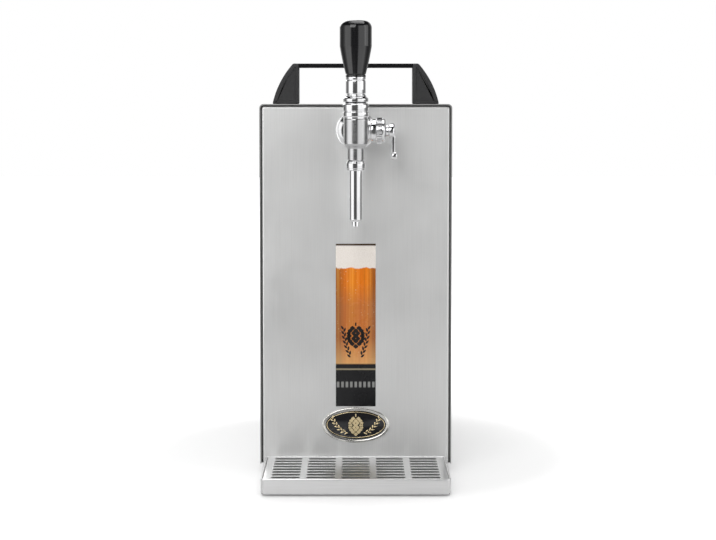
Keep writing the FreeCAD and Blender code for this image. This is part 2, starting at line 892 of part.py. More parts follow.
def compensator_lever():
    """Side lever hanging down, with its spindle and the crank pin that shifts the cone."""
    start = cone_radius + cone_clearance
    foot = Vector(start, compensator_y(), shank_z)
    neck_x = barrel_cap_end + spindle_clearance - start
    hub_x = neck_x + hub_neck_length
    end_x = hub_x + hub_length
    body = turned([
        (0, 0), (spindle_radius, 0), (spindle_radius, neck_x), (hub_neck_radius, neck_x),
        (hub_neck_radius, hub_x), (hub_radius, hub_x), (hub_radius, end_x - 1),
        (hub_radius - 1, end_x), (0, end_x),
    ], foot, RIGHT)
    arm_x = start + end_x - arm_thickness
    arm = block(arm_x, arm_x + arm_thickness, compensator_y() - arm_width / 2,
                compensator_y() + arm_width / 2, shank_z - arm_length, shank_z)
    tip = rod(tip_radius, Vector(arm_x, compensator_y(), shank_z - arm_length),
              Vector(arm_x + tip_length, compensator_y(), shank_z - arm_length))
    pin_z = shank_z + crank_throw
    pin = rod(crank_pin_radius, Vector(crank_pin_radius, compensator_y(), pin_z),
              Vector(start + sheet, compensator_y(), pin_z))
    return fused(body, arm, tip, pin)


def compensator_cone():
    """Tapered plug in the shank; the crank pin moves it along the bore to throttle the flow."""
    body = turned([
        (0, 0), (cone_radius, 0), (cone_radius, cone_body_length), (cone_nose_radius, cone_length),
        (0, cone_length),
    ], Vector(0, compensator_y() - cone_body_length / 2, shank_z), BACK, pipe_sides)
    half = crank_pin_radius + crank_slack
    slot = block(0, 2 * cone_radius, compensator_y() - half, compensator_y() + half,
                 shank_z - 2 * cone_radius, shank_z + 2 * cone_radius)
    return body.cut(slot)


def spout_top():
    """Height of the underside of the spigot that the spout seals against."""
    return shank_z - neck_drop - spigot_length


def spout_seal():
    """Flat washer between spigot and spout."""
    return ring(spout_flange_radius, spout_bore, spout_seal_thickness,
                Vector(0, tap_y, spout_top() - spout_seal_thickness), UP)


def spout_nut():
    """Collar nut that holds the spout's flange."""
    top = shank_z - neck_drop
    ledge = spout_top() - spout_seal_thickness - spout_flange_thickness
    wide, narrow = spigot_radius + thread_clearance, spout_radius + thread_clearance
    edge = spout_nut_chamfer
    profile = [
        (narrow, top - spout_nut_height), (spout_nut_radius - edge, top - spout_nut_height),
        (spout_nut_radius, top - spout_nut_height + edge), (spout_nut_radius, top - edge),
        (spout_nut_radius - edge, top), (wide, top), (wide, ledge), (narrow, ledge),
    ]
    return turned(profile, Vector(0, tap_y, 0))


def spout_tube():
    """Long straight pouring tube with a flange on top and a narrow nozzle at its end."""
    head = spout_top() - spout_seal_thickness
    end = head - spout_length - spout_tip_length
    profile = [
        (spout_bore, head), (spout_flange_radius, head),
        (spout_flange_radius, head - spout_flange_thickness),
        (spout_radius, head - spout_flange_thickness), (spout_radius, head - spout_length),
        (spout_tip_root_radius, head - spout_length - spout_shoulder), (spout_tip_radius, end),
        (spout_tip_bore, end), (spout_tip_bore, head - spout_length),
        (spout_bore, head - spout_length + spout_funnel),
    ]
    return turned(profile, Vector(0, tap_y, 0))


# Drip tray


def tray_bounds():
    """Outer planes of the tray: half width, front, rear, bottom, top."""
    return (tray_width / 2, front_y - tray_gap - tray_depth, front_y - tray_gap,
            tray_pad_height, tray_pad_height + tray_height)


def drip_tray():
    """Shallow tray with corner seats for the grid and two tongues that slip under the base."""
    half, y0, y1, z0, z1 = tray_bounds()
    outer = rounded_block(-half, half, y0, y1, z0, z1, UP, tray_corner)
    wall = tray_sheet
    inner = rounded_block(-half + wall, half - wall, y0 + wall, y1 - wall, z0 + wall, z1 + wall, UP,
                          tray_corner - wall)
    tray = outer.cut(inner)
    tongue_top = base_z - tray_tongue_clearance
    for x in centred(2, tray_tongue_span):
        tongue = block(x - tray_tongue_width / 2, x + tray_tongue_width / 2, y1 - wall,
                       y1 + tray_tongue_length, tongue_top - wall, tongue_top)
        tray = fused(tray, tongue)
    seat_top = z1 - grid_below_rim - grid_sheet
    for x in (-half + grid_seat_inset, half - grid_seat_inset):
        for y in (y0 + grid_seat_inset, y1 - grid_seat_inset):
            seat = turned([(0, 0), (grid_seat_foot, 0), (grid_seat_radius, seat_top - z0 - wall / 2),
                           (0, seat_top - z0 - wall / 2)], Vector(x, y, z0 + wall / 2),
                          sides=pipe_sides)
            tray = fused(tray, seat)
    return tray


def tray_pads():
    """Four thin clear pads under the tray."""
    half, y0, y1, z0, z1 = tray_bounds()
    return Part.makeCompound([
        rod(tray_pad_radius, Vector(x, y, 0), Vector(x, y, z0), pipe_sides)
        for x in (-half + tray_pad_inset, half - tray_pad_inset)
        for y in (y0 + tray_pad_inset, y1 - tray_pad_inset)
    ])


def drip_grid():
    """Flat slotted plate that lies on the tray's corner seats."""
    half, y0, y1, z0, z1 = tray_bounds()
    gap = tray_sheet + grid_clearance
    top = z1 - grid_below_rim
    corner = tray_corner - tray_sheet
    plate = rounded_block(-half + gap, half - gap, y0 + gap, y1 - gap, top - grid_sheet, top, UP,
                          corner)
    middle = (y0 + y1) / 2
    slots = [
        block(x - grid_slot_length / 2, x + grid_slot_length / 2, middle + y - grid_slot_width / 2,
              middle + y + grid_slot_width / 2, top - 2 * grid_sheet, top + grid_sheet)
        for x in centred(grid_columns, grid_pitch_x) for y in centred(grid_rows, grid_pitch_y)
    ]
    return plate.cut(slots)


# Label and badge


def front_label():
    """Thin printed strip on the front panel."""
    return block(-label_width / 2, label_width / 2, panel_y - label_thickness, panel_y,
                 label_foot_height, label_foot_height + label_height)


def front_badge():
    """Oval plate with a bevelled edge below the label."""
    def oval(shrink, y):
        corners = [
            Vector((badge_half_width - shrink) * c.x, y, badge_centre_height
                   + (badge_half_height - shrink) * c.y)
            for c in polygon(1, oval_sides)
        ]
        return Part.makePolygon(corners + corners[:1])

    rim = panel_y - badge_thickness + badge_edge
    return Part.makeLoft([oval(0, panel_y), oval(0, rim), oval(badge_edge, rim - badge_edge)],
                         True, True)


# Cold box


def mid_shelf():
    """Shelf between the cabinet sides that carries the cold box."""
    y0 = panel_y + cold_box_setback
    y1 = y0 + cold_box_depth
    shelf = block(-inner_x, inner_x, y0, y1, shelf_height, shelf_height + sheet)
    for side in (-1, 1):
        x0, x1 = sorted((side * inner_x, side * (inner_x - sheet)))
        shelf = fused(shelf, block(x0, x1, y0, y1, shelf_height - shelf_flange, shelf_height + sheet))
    x, y = beer_line_in_place()
    return shelf.cut(rod(pipe_radius + 1, Vector(x, y, shelf_height - sheet),
                         Vector(x, y, shelf_height + 2 * sheet)))


def cold_box_bounds():
    """Outer planes of the insulated box: half width, front, rear, bottom, top of the lid."""
    y0 = panel_y + cold_box_setback
    z0 = shelf_height + sheet
    return cold_box_width / 2, y0, y0 + cold_box_depth, z0, z0 + cold_box_height


def cold_box():
    """Foam housing, open at the top for the aluminium block."""
    half, y0, y1, z0, z1 = cold_box_bounds()
    wall = cold_box_wall
    box = block(-half, half, y0, y1, z0, z1 - cold_lid_thickness)
    return box.cut(block(-half + wall, half - wall, y0 + wall, y1 - wall, z0 + wall, z1))


def cold_box_lid():
    """Foam lid on the cold box."""
    half, y0, y1, z0, z1 = cold_box_bounds()
    return block(-half, half, y0, y1, z1 - cold_lid_thickness, z1)


def cold_block():
    """Cast aluminium block that holds the beer coil and the evaporator coil."""
    half, y0, y1, z0, z1 = cold_box_bounds()
    gap = cold_box_wall + cold_block_margin
    return block(-half + gap, half - gap, y0 + gap, y1 - gap, z0 + cold_box_wall,
                 z1 - cold_lid_thickness)


def beer_line_in_place():
    """Where the warm beer line comes up through the shelf."""
    return fitting_offset, panel_y + cold_box_setback + cold_box_depth / 2


def beer_line_out():
    """Cold beer line from the box lid up and forward into the shank."""
    half, y0, y1, z0, z1 = cold_box_bounds()
    middle = (y0 + y1) / 2
    return pipe_run([Vector(0, panel_y + shank_inner_length, shank_z), Vector(0, middle, shank_z),
                     Vector(0, middle, z1)], pipe_radius, pipe_bend)


def beer_line_in():
    """Warm beer line from the rear fitting, under the shelf and up into the box."""
    x, y = beer_line_in_place()
    return pipe_run([Vector(x, fitting_tail_y(), beer_height()), Vector(x, y, beer_height()),
                     Vector(x, y, shelf_height + sheet)], pipe_radius, pipe_bend)


# Refrigeration set


def compressor_y():
    """Depth of the compressor's upright axis."""
    return front_y + compressor_setback


def compressor_foot_bolts():
    """Bolt positions on the compressor's foot plate."""
    x = compressor_foot_width / 2 - compressor_foot_bolt_inset
    y = compressor_foot_depth / 2 - compressor_foot_bolt_inset
    return [(sx * x, compressor_y() + sy * y) for sx in (-1, 1) for sy in (-1, 1)]


def compressor():
    """Hermetic compressor: welded pot on a foot plate, with suction and discharge stubs."""
    foot_z = floor_z + grommet_height
    top = foot_z + compressor_foot_thickness
    centre = Vector(0, compressor_y(), top)
    r, h = compressor_radius, compressor_height
    edge = compressor_edge
    pot = turned([(0, 0), (r - edge, 0), (r, 2 * edge), (r, h - 4 * edge), (r - edge, h - edge),
                  (r / 2, h), (0, h)], centre)
    plate = block(-compressor_foot_width / 2, compressor_foot_width / 2,
                  compressor_y() - compressor_foot_depth / 2, compressor_y() + compressor_foot_depth / 2,
                  foot_z, top)
    suction = rod(stub_radius, centre + Vector(suction_x(), 0, h / 2),
                  centre + Vector(suction_x(), 0, h + stub_length))
    discharge = rod(stub_radius, centre + Vector(0, 0, h / 3),
                    centre + Vector(-r - stub_length, 0, h / 3))
    body = fused(pot, plate, suction, discharge)
    for x, y in compressor_foot_bolts():
        body = body.cut(rod(grommet_radius / 2 + thread_clearance, Vector(x, y, foot_z - sheet),
                            Vector(x, y, top + sheet), pipe_sides))
    return body


def suction_x():
    """Sideways position of the suction stub on the compressor's crown."""
    return compressor_radius / 2


def compressor_grommets():
    """Four rubber grommets under the foot plate, each with a stem through it."""
    top = floor_z + grommet_height
    return Part.makeCompound([
        fused(rod(grommet_radius, Vector(x, y, floor_z), Vector(x, y, top), pipe_sides),
              rod(grommet_radius / 2, Vector(x, y, floor_z),
                  Vector(x, y, top + compressor_foot_thickness), pipe_sides))
        for x, y in compressor_foot_bolts()
    ])


def suction_line():
    """Cold gas pipe from the cold box back down to the compressor."""
    half, y0, y1, z0, z1 = cold_box_bounds()
    stub_top = floor_z + grommet_height + compressor_foot_thickness + compressor_height + stub_length
    level = (stub_top + z1) / 2
    return pipe_run([Vector(suction_x(), compressor_y(), stub_top),
                     Vector(suction_x(), compressor_y(), level), Vector(suction_x(), y1, level)],
                    pipe_radius, pipe_bend)


def condenser_bounds():
    """Planes of the condenser: half width, front, rear, bottom, top."""
    y1 = rear_inner_y
    z0 = condenser_top - condenser_height
    return condenser_width / 2, y1 - condenser_depth, y1, z0, condenser_top


def condenser():
    """Finned heat exchanger: side plates, flat tubes across and upright fins, made as one core."""
    half, y0, y1, z0, z1 = condenser_bounds()
    side = condenser_side_thickness
    pieces = [block(-half, -half + side, y0, y1, z0, z1), block(half - side, half, y0, y1, z0, z1)]
    tube_pitch = (condenser_height - condenser_tube_height) / (condenser_tubes - 1)
    for dz in centred(condenser_tubes, tube_pitch):
        z = (z0 + z1) / 2 + dz
        pieces.append(block(-half, half, y0 + side, y1 - side, z - condenser_tube_height / 2,
                            z + condenser_tube_height / 2))
    fin_pitch = condenser_width / (condenser_fins + 1)
    for x in centred(condenser_fins, fin_pitch):
        pieces.append(block(x - condenser_fin_thickness / 2, x + condenser_fin_thickness / 2,
                            y0 + side / 2, y1 - side / 2, z0, z1))
    inlet_z = discharge_level()
    pieces.append(rod(stub_radius, Vector(-half + side, (y0 + y1) / 2, inlet_z),
                      Vector(-discharge_x(), (y0 + y1) / 2, inlet_z)))
    return fused(*pieces)


def discharge_x():
    """The hot gas pipe climbs beside the condenser, this far left of the middle."""
    return condenser_width / 2 + stub_length - pipe_radius


def discharge_level():
    """Height at which the hot gas pipe enters the condenser."""
    half, y0, y1, z0, z1 = condenser_bounds()
    return z0 + condenser_height / 4


def discharge_line():
    """Hot gas pipe from the compressor's side up to the condenser."""
    half, y0, y1, z0, z1 = condenser_bounds()
    stub_z = floor_z + grommet_height + compressor_foot_thickness + compressor_height / 3
    x = -discharge_x() - pipe_radius
    start = Vector(-compressor_radius - stub_length, compressor_y(), stub_z)
    middle = (y0 + y1) / 2
    return pipe_run([start, Vector(x, compressor_y(), stub_z), Vector(x, middle, stub_z),
                     Vector(x, middle, discharge_level() + stub_radius)], pipe_radius, pipe_bend)


def fan_shroud():
    """Square plate with a round throat, between condenser and fan."""
    half, y0, y1, z0, z1 = condenser_bounds()
    wall = shroud_wall
    plate = block(-half, half, y0 - wall, y0, z0, z1)
    throat_start = Vector(0, y0 - shroud_depth, grille_centre_height)
    throat = rod(shroud_ring_radius + wall, throat_start, throat_start + BACK * shroud_depth)
    hole = rod(shroud_ring_radius, throat_start - BACK * wall,
               throat_start + BACK * (shroud_depth + wall))
    return fused(plate, throat).cut(hole)


def fan_front_y():
    """Face of the fan hub that looks at the motor."""
    half, y0, y1, z0, z1 = condenser_bounds()
    return y0 - shroud_wall - fan_hub_length


def fan_blade():
    """Fan: hub with a shaft socket and pitched blades trimmed to a circle."""
    foot = Vector(0, fan_front_y(), grille_centre_height)
    hub = ring(fan_hub_radius, fan_shaft_radius + piston_clearance, fan_hub_length, foot, BACK)
    middle = foot + BACK * (fan_hub_length / 2)
    trim = ring(fan_radius, fan_hub_radius - 1, fan_hub_length, foot, BACK)
    blade = block(-fan_blade_chord / 2, fan_blade_chord / 2, -fan_blade_thickness / 2,
                  fan_blade_thickness / 2, 0, fan_radius)
    blade.rotate(Vector(0, 0, 0), UP, fan_blade_pitch)
    blades = []
    for i in range(fan_blades):
        copy = blade.copy()
        copy.rotate(Vector(0, 0, 0), BACK, 360 / fan_blades * i)
        copy.translate(middle)
        blades.append(copy.common(trim))
    return fused(hub, *blades)


def fan_motor():
    """Motor with its shaft through the hub."""
    face = Vector(0, fan_front_y() - motor_gap, grille_centre_height)
    can = rod(motor_radius, face - BACK * motor_length, face)
    shaft = rod(fan_shaft_radius, face - BACK, face + BACK * (motor_gap + fan_hub_length - 1))
    return fused(can, shaft)


def motor_strap():
    """Bent strap across the shroud that carries the motor."""
    half, y0, y1, z0, z1 = condenser_bounds()
    back = fan_front_y() - motor_gap - motor_length
    strap = block(-half, half, back - shroud_wall, back, grille_centre_height - motor_strap_width / 2,
                  grille_centre_height + motor_strap_width / 2)
    for side in (-1, 1):
        x0, x1 = sorted((side * half, side * (half - shroud_wall)))
        leg = block(x0, x1, back - shroud_wall, y0 - shroud_wall,
                    grille_centre_height - motor_strap_width / 2,
                    grille_centre_height + motor_strap_width / 2)
        strap = fused(strap, leg)
    return strap


# Air pump


def air_pump():
    """Small diaphragm pump: square motor block, round head with its outlet port, foot plate."""
    y0 = panel_y + pump_setback
    y1 = y0 + pump_depth
    half, foot = pump_width / 2, pump_foot_thickness
    plate = block(-half - pump_foot_margin, half + pump_foot_margin, y0, y1, floor_z, floor_z + foot)
    body = block(-half, half, y0 + foot, y1 - foot, floor_z + foot, floor_z + foot + pump_height)
    head_foot = Vector(0, pump_port_y(), floor_z + foot + pump_height)
    head = rod(pump_head_radius, head_foot, head_foot + UP * pump_head_height)
    port_foot = Vector(0, pump_port_y(), air_height())
    port = rod(pump_port_radius, port_foot, port_foot + RIGHT * (pump_head_radius + pump_port_length))
    return fused(plate, body, head, port)


def pump_port_y():
    """Depth of the pump's outlet port, on the middle of its head."""
    return panel_y + pump_setback + pump_depth / 2


def air_height():
    """Height of the pump's outlet port, which the air fitting shares."""
    return floor_z + pump_foot_thickness + pump_height + pump_head_height / 2


def air_line():
    """Air hose from the pump's port round the compressor to the rear fitting."""
    x, y, z = fitting_offset, pump_port_y(), air_height()
    return pipe_run([Vector(x, fitting_tail_y(), z), Vector(x, y, z),
                     Vector(pump_head_radius + pump_port_length, y, z)], pipe_radius, pipe_bend)


# Rear services


def beer_height():
    """Height of the beer fitting, above the air fitting."""
    return air_height() + fitting_spacing


def fitting_tail_y():
    """Inner end of the push-in fittings."""
    return rear_inner_y - fitting_tail_length


def rear_panel():
    """Rear panel with the grille and the openings for the services."""
    panel = folded_panel(rear_face_y, -1)
    y0, y1 = rear_inner_y - sheet, rear_y + sheet
    cutters = [
        block(-grille_slot_length / 2, grille_slot_length / 2, y0, y1,
              grille_centre_height + z - grille_slot_height / 2,
              grille_centre_height + z + grille_slot_height / 2)
        for z in centred(grille_rows, grille_pitch)
    ]
    for z in (beer_height(), air_height()):
        cutters.append(rod(fitting_radius - 1 + thread_clearance, Vector(fitting_offset, y0, z),
                           Vector(fitting_offset, y1, z)))
    cutters.append(rod(thermostat_stem_radius + shank_clearance,
                       Vector(thermostat_offset, y0, controls_z),
                       Vector(thermostat_offset, y1, controls_z)))
    for x in switch_places():
        cutters.append(block(x - switch_width / 2, x + switch_width / 2, y0, y1,
                             controls_z - switch_height / 2, controls_z + switch_height / 2))
    cutters.append(block(inlet_offset - inlet_width / 2, inlet_offset + inlet_width / 2, y0, y1,
                         inlet_centre_height - inlet_height / 2,
                         inlet_centre_height + inlet_height / 2))
    return panel.cut(cutters)


def push_fitting(z, tube_radius):
    """Push-in tube fitting in the rear panel, bored for its collet."""
    bore = tube_radius + collet_wall + collet_clearance
    lip_y = fitting_reach - panel_recess - collet_lip_thickness
    mouth = lip_y - collet_travel - collet_clearance
    pocket_end = lip_y - collet_depth - collet_travel - collet_clearance
    inside = sheet + fitting_tail_length
    thread_radius = fitting_radius - 1
    profile = [
        (pipe_radius, -inside), (thread_radius, -inside), (thread_radius, 0),
        (fitting_flange_radius, 0), (fitting_flange_radius, fitting_flange_thickness),
        (fitting_radius, fitting_flange_thickness), (fitting_radius, mouth), (bore, mouth),
        (bore, pocket_end), (pipe_radius, pocket_end),
    ]
    return turned(profile, Vector(fitting_offset, rear_face_y, z), BACK)


def push_collet(z, tube_radius):
    """Release collet: pressed in to free the tube."""
    reach = fitting_reach - panel_recess
    lip_y = reach - collet_lip_thickness
    profile = [
        (0, lip_y - collet_depth), (tube_radius + collet_wall, lip_y - collet_depth),
        (tube_radius + collet_wall, lip_y), (collet_lip_radius, lip_y), (collet_lip_radius, reach),
        (0, reach),
    ]
    foot = Vector(fitting_offset, rear_face_y, z)
    bore = seat_rod(tube_radius, foot, foot + BACK * 2 * reach)
    return turned(profile, foot, BACK).cut(bore)


def fitting_nuts():
    """Two back nuts that hold the push-in fittings."""
    nuts = []
    for z in (beer_height(), air_height()):
        foot = Vector(fitting_offset, rear_inner_y, z)
        nut = hex_prism(fitting_nut_flats, fitting_nut_thickness, foot, -BACK)
        nuts.append(nut.cut(rod(fitting_radius - 1 + thread_clearance, foot + BACK,
                                foot - BACK * 2 * fitting_nut_thickness)))
    return Part.makeCompound(nuts)


def thermostat():
    """Thermostat body with its stem through the rear panel."""
    x, z = thermostat_offset, controls_z
    body = block(x - thermostat_width / 2, x + thermostat_width / 2, rear_inner_y - thermostat_depth,
                 rear_inner_y, z - thermostat_height / 2, z + thermostat_height / 2)
    stem = rod(thermostat_stem_radius, Vector(x, rear_inner_y - sheet, z),
               Vector(x, rear_face_y + knob_dial_gap + knob_dial_thickness / 2, z))
    return fused(body, stem)


def thermostat_knob():
    """Round dial knob with a skirt and a straight grip bar."""
    foot = Vector(thermostat_offset, rear_face_y + knob_dial_gap, controls_z)
    skirt = rod(knob_dial_radius, foot, foot + BACK * dial_skirt_thickness)
    half = knob_dial_grip / 2
    grip = block(foot.x - half, foot.x + half, foot.y, foot.y + knob_dial_thickness,
                 foot.z - knob_dial_radius, foot.z + knob_dial_radius)
    grip = grip.common(rod(knob_dial_radius - 1, foot, foot + BACK * knob_dial_thickness))
    socket = rod(thermostat_stem_radius + piston_clearance, foot - BACK,
                 foot + BACK * (knob_dial_thickness / 2 + piston_clearance))
    core = rod(knob_dial_radius / 2, foot, foot + BACK * knob_dial_core)
    return fused(skirt, grip, core).cut(socket)


def switch_places():
    """Sideways positions of the cooling switch and the pump switch."""
    return (-switch_offset, -switch_offset - switch_spacing)


def switch_frame(x):
    """Snap-in switch housing with a rim around its rocker."""
    z = controls_z
    half_x, half_z = switch_width / 2 - thread_clearance, switch_height / 2 - thread_clearance
    rim = block(x - half_x - switch_frame_rim, x + half_x + switch_frame_rim, rear_face_y,
                rear_face_y + switch_frame_reach, z - half_z - switch_frame_rim,
                z + half_z + switch_frame_rim)
    body = block(x - half_x, x + half_x, rear_inner_y - switch_body_depth, rear_face_y,
                 z - half_z, z + half_z)
    half_x, half_z = half_x - switch_frame_rim, half_z - switch_frame_rim
    pocket = block(x - half_x, x + half_x, rear_face_y - 2 * rocker_depth,
                   rear_face_y + 2 * switch_frame_reach, z - half_z, z + half_z)
    pivot = Vector(x, rocker_pivot_y(), z)
    reach = switch_width / 2 - switch_frame_rim + rocker_pin_length
    pin_hole = rod(rocker_pin_radius + thread_clearance, pivot - RIGHT * reach, pivot + RIGHT * reach)
    return fused(rim, body).cut([pocket, pin_hole])


def rocker_bounds():
    """Half width and half height of a rocker inside its frame."""
    shrink = switch_frame_rim + thread_clearance + rocker_gap
    return switch_width / 2 - shrink, switch_height / 2 - shrink


def rocker_pivot_y():
    """Depth of the rockers' pivot axis."""
    return rear_face_y + switch_frame_reach - rocker_depth / 2


def switch_rocker(x):
    """Rocker with a ridge across its pivot and two pivot pins, shown tipped to off."""
    half_x, half_z = rocker_bounds()
    pivot = Vector(x, rocker_pivot_y(), controls_z)
    back, foot, tip = -rocker_depth / 2, half_z - rocker_undercut, half_z - rocker_edge
    outline = [
        pivot + Vector(-half_x, y, z) for y, z in (
            (back, -foot), (back, foot), (rocker_reach, tip), (rocker_reach - rocker_dip, 0),
            (rocker_reach, -tip),
        )
    ]
    pin_reach = switch_width / 2 - switch_frame_rim + rocker_pin_length - 2 * thread_clearance
    pins = rod(rocker_pin_radius, pivot - RIGHT * pin_reach, pivot + RIGHT * pin_reach)
    rocker = fused(prism(outline, RIGHT * 2 * half_x), pins)
    rocker.rotate(pivot, RIGHT, -rocker_angle)
    return rocker


def power_inlet():
    """Mains inlet: flanged socket with three pins in a recess."""
    x, z = inlet_offset, inlet_centre_height
    half_x, half_z = inlet_width / 2 - thread_clearance, inlet_height / 2 - thread_clearance
    flange = block(x - half_x - inlet_rim, x + half_x + inlet_rim, rear_face_y,
                   rear_face_y + inlet_reach, z - half_z - inlet_reach, z + half_z + inlet_reach)
    body = block(x - half_x, x + half_x, rear_inner_y - inlet_body_depth, rear_face_y + inlet_reach,
                 z - half_z, z + half_z)
    wall = inlet_reach
    recess = block(x - half_x + wall, x + half_x - wall, rear_face_y + inlet_reach - inlet_cavity_depth,
                   rear_face_y + inlet_reach + sheet, z - half_z + wall, z + half_z - wall)
    shell = fused(flange, body).cut(recess)
    back = rear_face_y + inlet_reach - inlet_cavity_depth
    half_x, half_z = inlet_pin_width / 2, inlet_pin_height / 2
    for column in (-1, 0, 1):
        pin_x = x + column * inlet_pin_spacing
        pin_z = z + inlet_pin_step * (1 / 2 - abs(column))
        shell = fused(shell, block(pin_x - half_x, pin_x + half_x, back - sheet,
                                   back + inlet_pin_length, pin_z - half_z, pin_z + half_z))
    return shell.cut(screw_holes())


def parts():
    """Every separate piece of the dispenser, by name."""
    cooling_x, pump_x = switch_places()
    named = {
        "base_pan": base_pan(), "cabinet_cover": cabinet_cover(), "front_panel": front_panel(),
        "rear_panel": rear_panel(), "cabinet_screws": cabinet_screws(),
        "rubber_feet": rubber_feet(),
        "handle_bracket_left": handle_bracket(-1), "handle_bracket_right": handle_bracket(1),
        "handle_bar": handle_bar(), "handle_screws": handle_screws(),
        "tap_shank": tap_shank(), "tap_flange": tap_flange(), "shank_nut": shank_nut(),
        "coupling_nut": coupling_nut(), "tap_body": tap_body(), "tap_bonnet": tap_bonnet(),
        "tap_lever": tap_lever(), "tap_knob": tap_knob(), "tap_piston": tap_piston(),
        "compensator_barrel": compensator_barrel(), "compensator_cap": compensator_cap(),
        "compensator_lever": compensator_lever(), "compensator_cone": compensator_cone(),
        "spout_nut": spout_nut(), "spout_seal": spout_seal(), "spout_tube": spout_tube(),
        "drip_tray": drip_tray(), "tray_pads": tray_pads(), "drip_grid": drip_grid(),
        "front_label": front_label(), "front_badge": front_badge(),
        "mid_shelf": mid_shelf(), "cold_box": cold_box(), "cold_box_lid": cold_box_lid(),
        "cold_block": cold_block(), "beer_line_out": beer_line_out(),
        "beer_line_in": beer_line_in(), "compressor": compressor(),
        "compressor_grommets": compressor_grommets(), "suction_line": suction_line(),
        "discharge_line": discharge_line(), "condenser": condenser(), "fan_shroud": fan_shroud(),
        "fan_blade": fan_blade(), "fan_motor": fan_motor(), "motor_strap": motor_strap(),
        "air_pump": air_pump(), "air_line": air_line(),
        "beer_inlet": push_fitting(beer_height(), beer_tube_radius),
        "beer_inlet_collet": push_collet(beer_height(), beer_tube_radius),
        "air_outlet": push_fitting(air_height(), air_tube_radius),
        "air_outlet_collet": push_collet(air_height(), air_tube_radius),
        "fitting_nuts": fitting_nuts(), "thermostat": thermostat(),
        "thermostat_knob": thermostat_knob(), "cooling_switch": switch_frame(cooling_x),
        "cooling_rocker": switch_rocker(cooling_x), "pump_switch": switch_frame(pump_x),
        "pump_rocker": switch_rocker(pump_x), "power_inlet": power_inlet(),
    }
    return named


os.makedirs("parts", exist_ok=True)
for name, shape in parts().items():
    shape.exportStep(f"parts/{name}.step")
    print(f"{name}: {len(shape.Solids)} solids, {shape.Volume / 1000:.2f} cm3")
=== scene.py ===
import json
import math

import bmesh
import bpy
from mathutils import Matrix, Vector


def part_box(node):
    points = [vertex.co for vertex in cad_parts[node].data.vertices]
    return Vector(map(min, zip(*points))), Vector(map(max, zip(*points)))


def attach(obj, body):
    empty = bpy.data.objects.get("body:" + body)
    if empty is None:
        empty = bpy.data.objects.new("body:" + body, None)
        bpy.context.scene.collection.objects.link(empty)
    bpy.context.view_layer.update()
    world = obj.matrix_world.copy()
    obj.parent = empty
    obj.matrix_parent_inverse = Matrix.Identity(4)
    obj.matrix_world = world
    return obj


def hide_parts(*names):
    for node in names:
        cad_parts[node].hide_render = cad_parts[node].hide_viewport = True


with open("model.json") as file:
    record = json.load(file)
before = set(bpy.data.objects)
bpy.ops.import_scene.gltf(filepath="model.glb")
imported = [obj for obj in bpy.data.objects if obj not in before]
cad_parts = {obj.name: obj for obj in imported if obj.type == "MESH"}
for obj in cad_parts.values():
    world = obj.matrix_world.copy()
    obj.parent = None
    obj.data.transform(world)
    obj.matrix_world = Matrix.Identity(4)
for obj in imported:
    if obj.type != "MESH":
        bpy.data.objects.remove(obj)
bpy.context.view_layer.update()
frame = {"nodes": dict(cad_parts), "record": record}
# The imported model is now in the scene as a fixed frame: every later cell builds around it.

# %% [markdown]
# # A counter-top beer dispenser
# The real object is a narrow stainless cabinet that cools beer on its way from a keg to a tap.
# What the eye meets is sheet metal, one bright tap, two moulded handle brackets and a drip
# tray. Large flat sheets are kept as the solid model gives them and only get their finish.
# Turned, moulded and pressed pieces are built again here, because a viewer reads roundness
# and edge highlights long before anything else.

UP = Vector((0, 0, 1))
BACK = Vector((0, 1, 0))
RIGHT = Vector((1, 0, 0))
MM = 0.001


def at(x, y, z):
    """A point given in millimetres."""
    return Vector((x, y, z)) * MM


def box_mm(node):
    """Lowest and highest corners of a solid, in millimetres."""
    low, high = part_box(node)
    return low / MM, high / MM


def middle_mm(node):
    """Middle of a solid's box in millimetres, as three plain numbers."""
    return [(a + b) / 2 for a, b in zip(*box_mm(node))]


def linked(name, data):
    """New object in the scene."""
    made = bpy.data.objects.new(name, data)
    bpy.context.scene.collection.objects.link(made)
    return made


# %% [markdown]
# # Where the eye stands
# The photograph is nearly level with the top of the cabinet and looks at the front squarely.
# A level camera would need a tall shift to keep upright lines parallel, so the camera is
# tipped a little and shifted a little: the uprights stay within about a pixel.

# %% Camera
photo_width = 716
focal_pixels = 1622.0
eye = at(0, -1585, 343)
tip_down = math.radians(3.3)
horizon_above_middle = 166.0
object_left_of_middle = 2.25

camera_data = bpy.data.cameras.new("Camera")
camera_data.lens = focal_pixels / photo_width * camera_data.sensor_width
camera_data.shift_x = object_left_of_middle / photo_width
camera_data.shift_y = (focal_pixels * math.tan(tip_down) - horizon_above_middle) / photo_width
camera_data.clip_start = 0.05
camera = linked("Camera", camera_data)
camera.location = eye
camera.rotation_euler = (math.pi / 2 - tip_down, 0, 0)
bpy.context.scene.camera = camera
print("lens", round(camera_data.lens, 2), "shift", round(camera_data.shift_y, 3))

# %% [markdown]
# # Building blocks for meshes
# Most of a tap is turned on a lathe. A turned piece is a closed outline of radius and height
# spun about an axis, so one function makes them all. Real edges are never knife sharp, so the
# outline's corners are rounded first: the small arcs are what catches the light.

# %% From points and faces to a piece


def rounded(mesh, sharp=35):
    """Smooth shading, broken where faces meet at more than an angle in degrees."""
    mesh.shade_smooth()
    mesh.set_sharp_from_angle(angle=math.radians(sharp))


def piece_of(name, work):
    """Piece from an edit mesh, which is used up."""
    mesh = bpy.data.meshes.new(name)
    work.to_mesh(mesh)
    work.free()
    rounded(mesh)
    return linked(name, mesh)


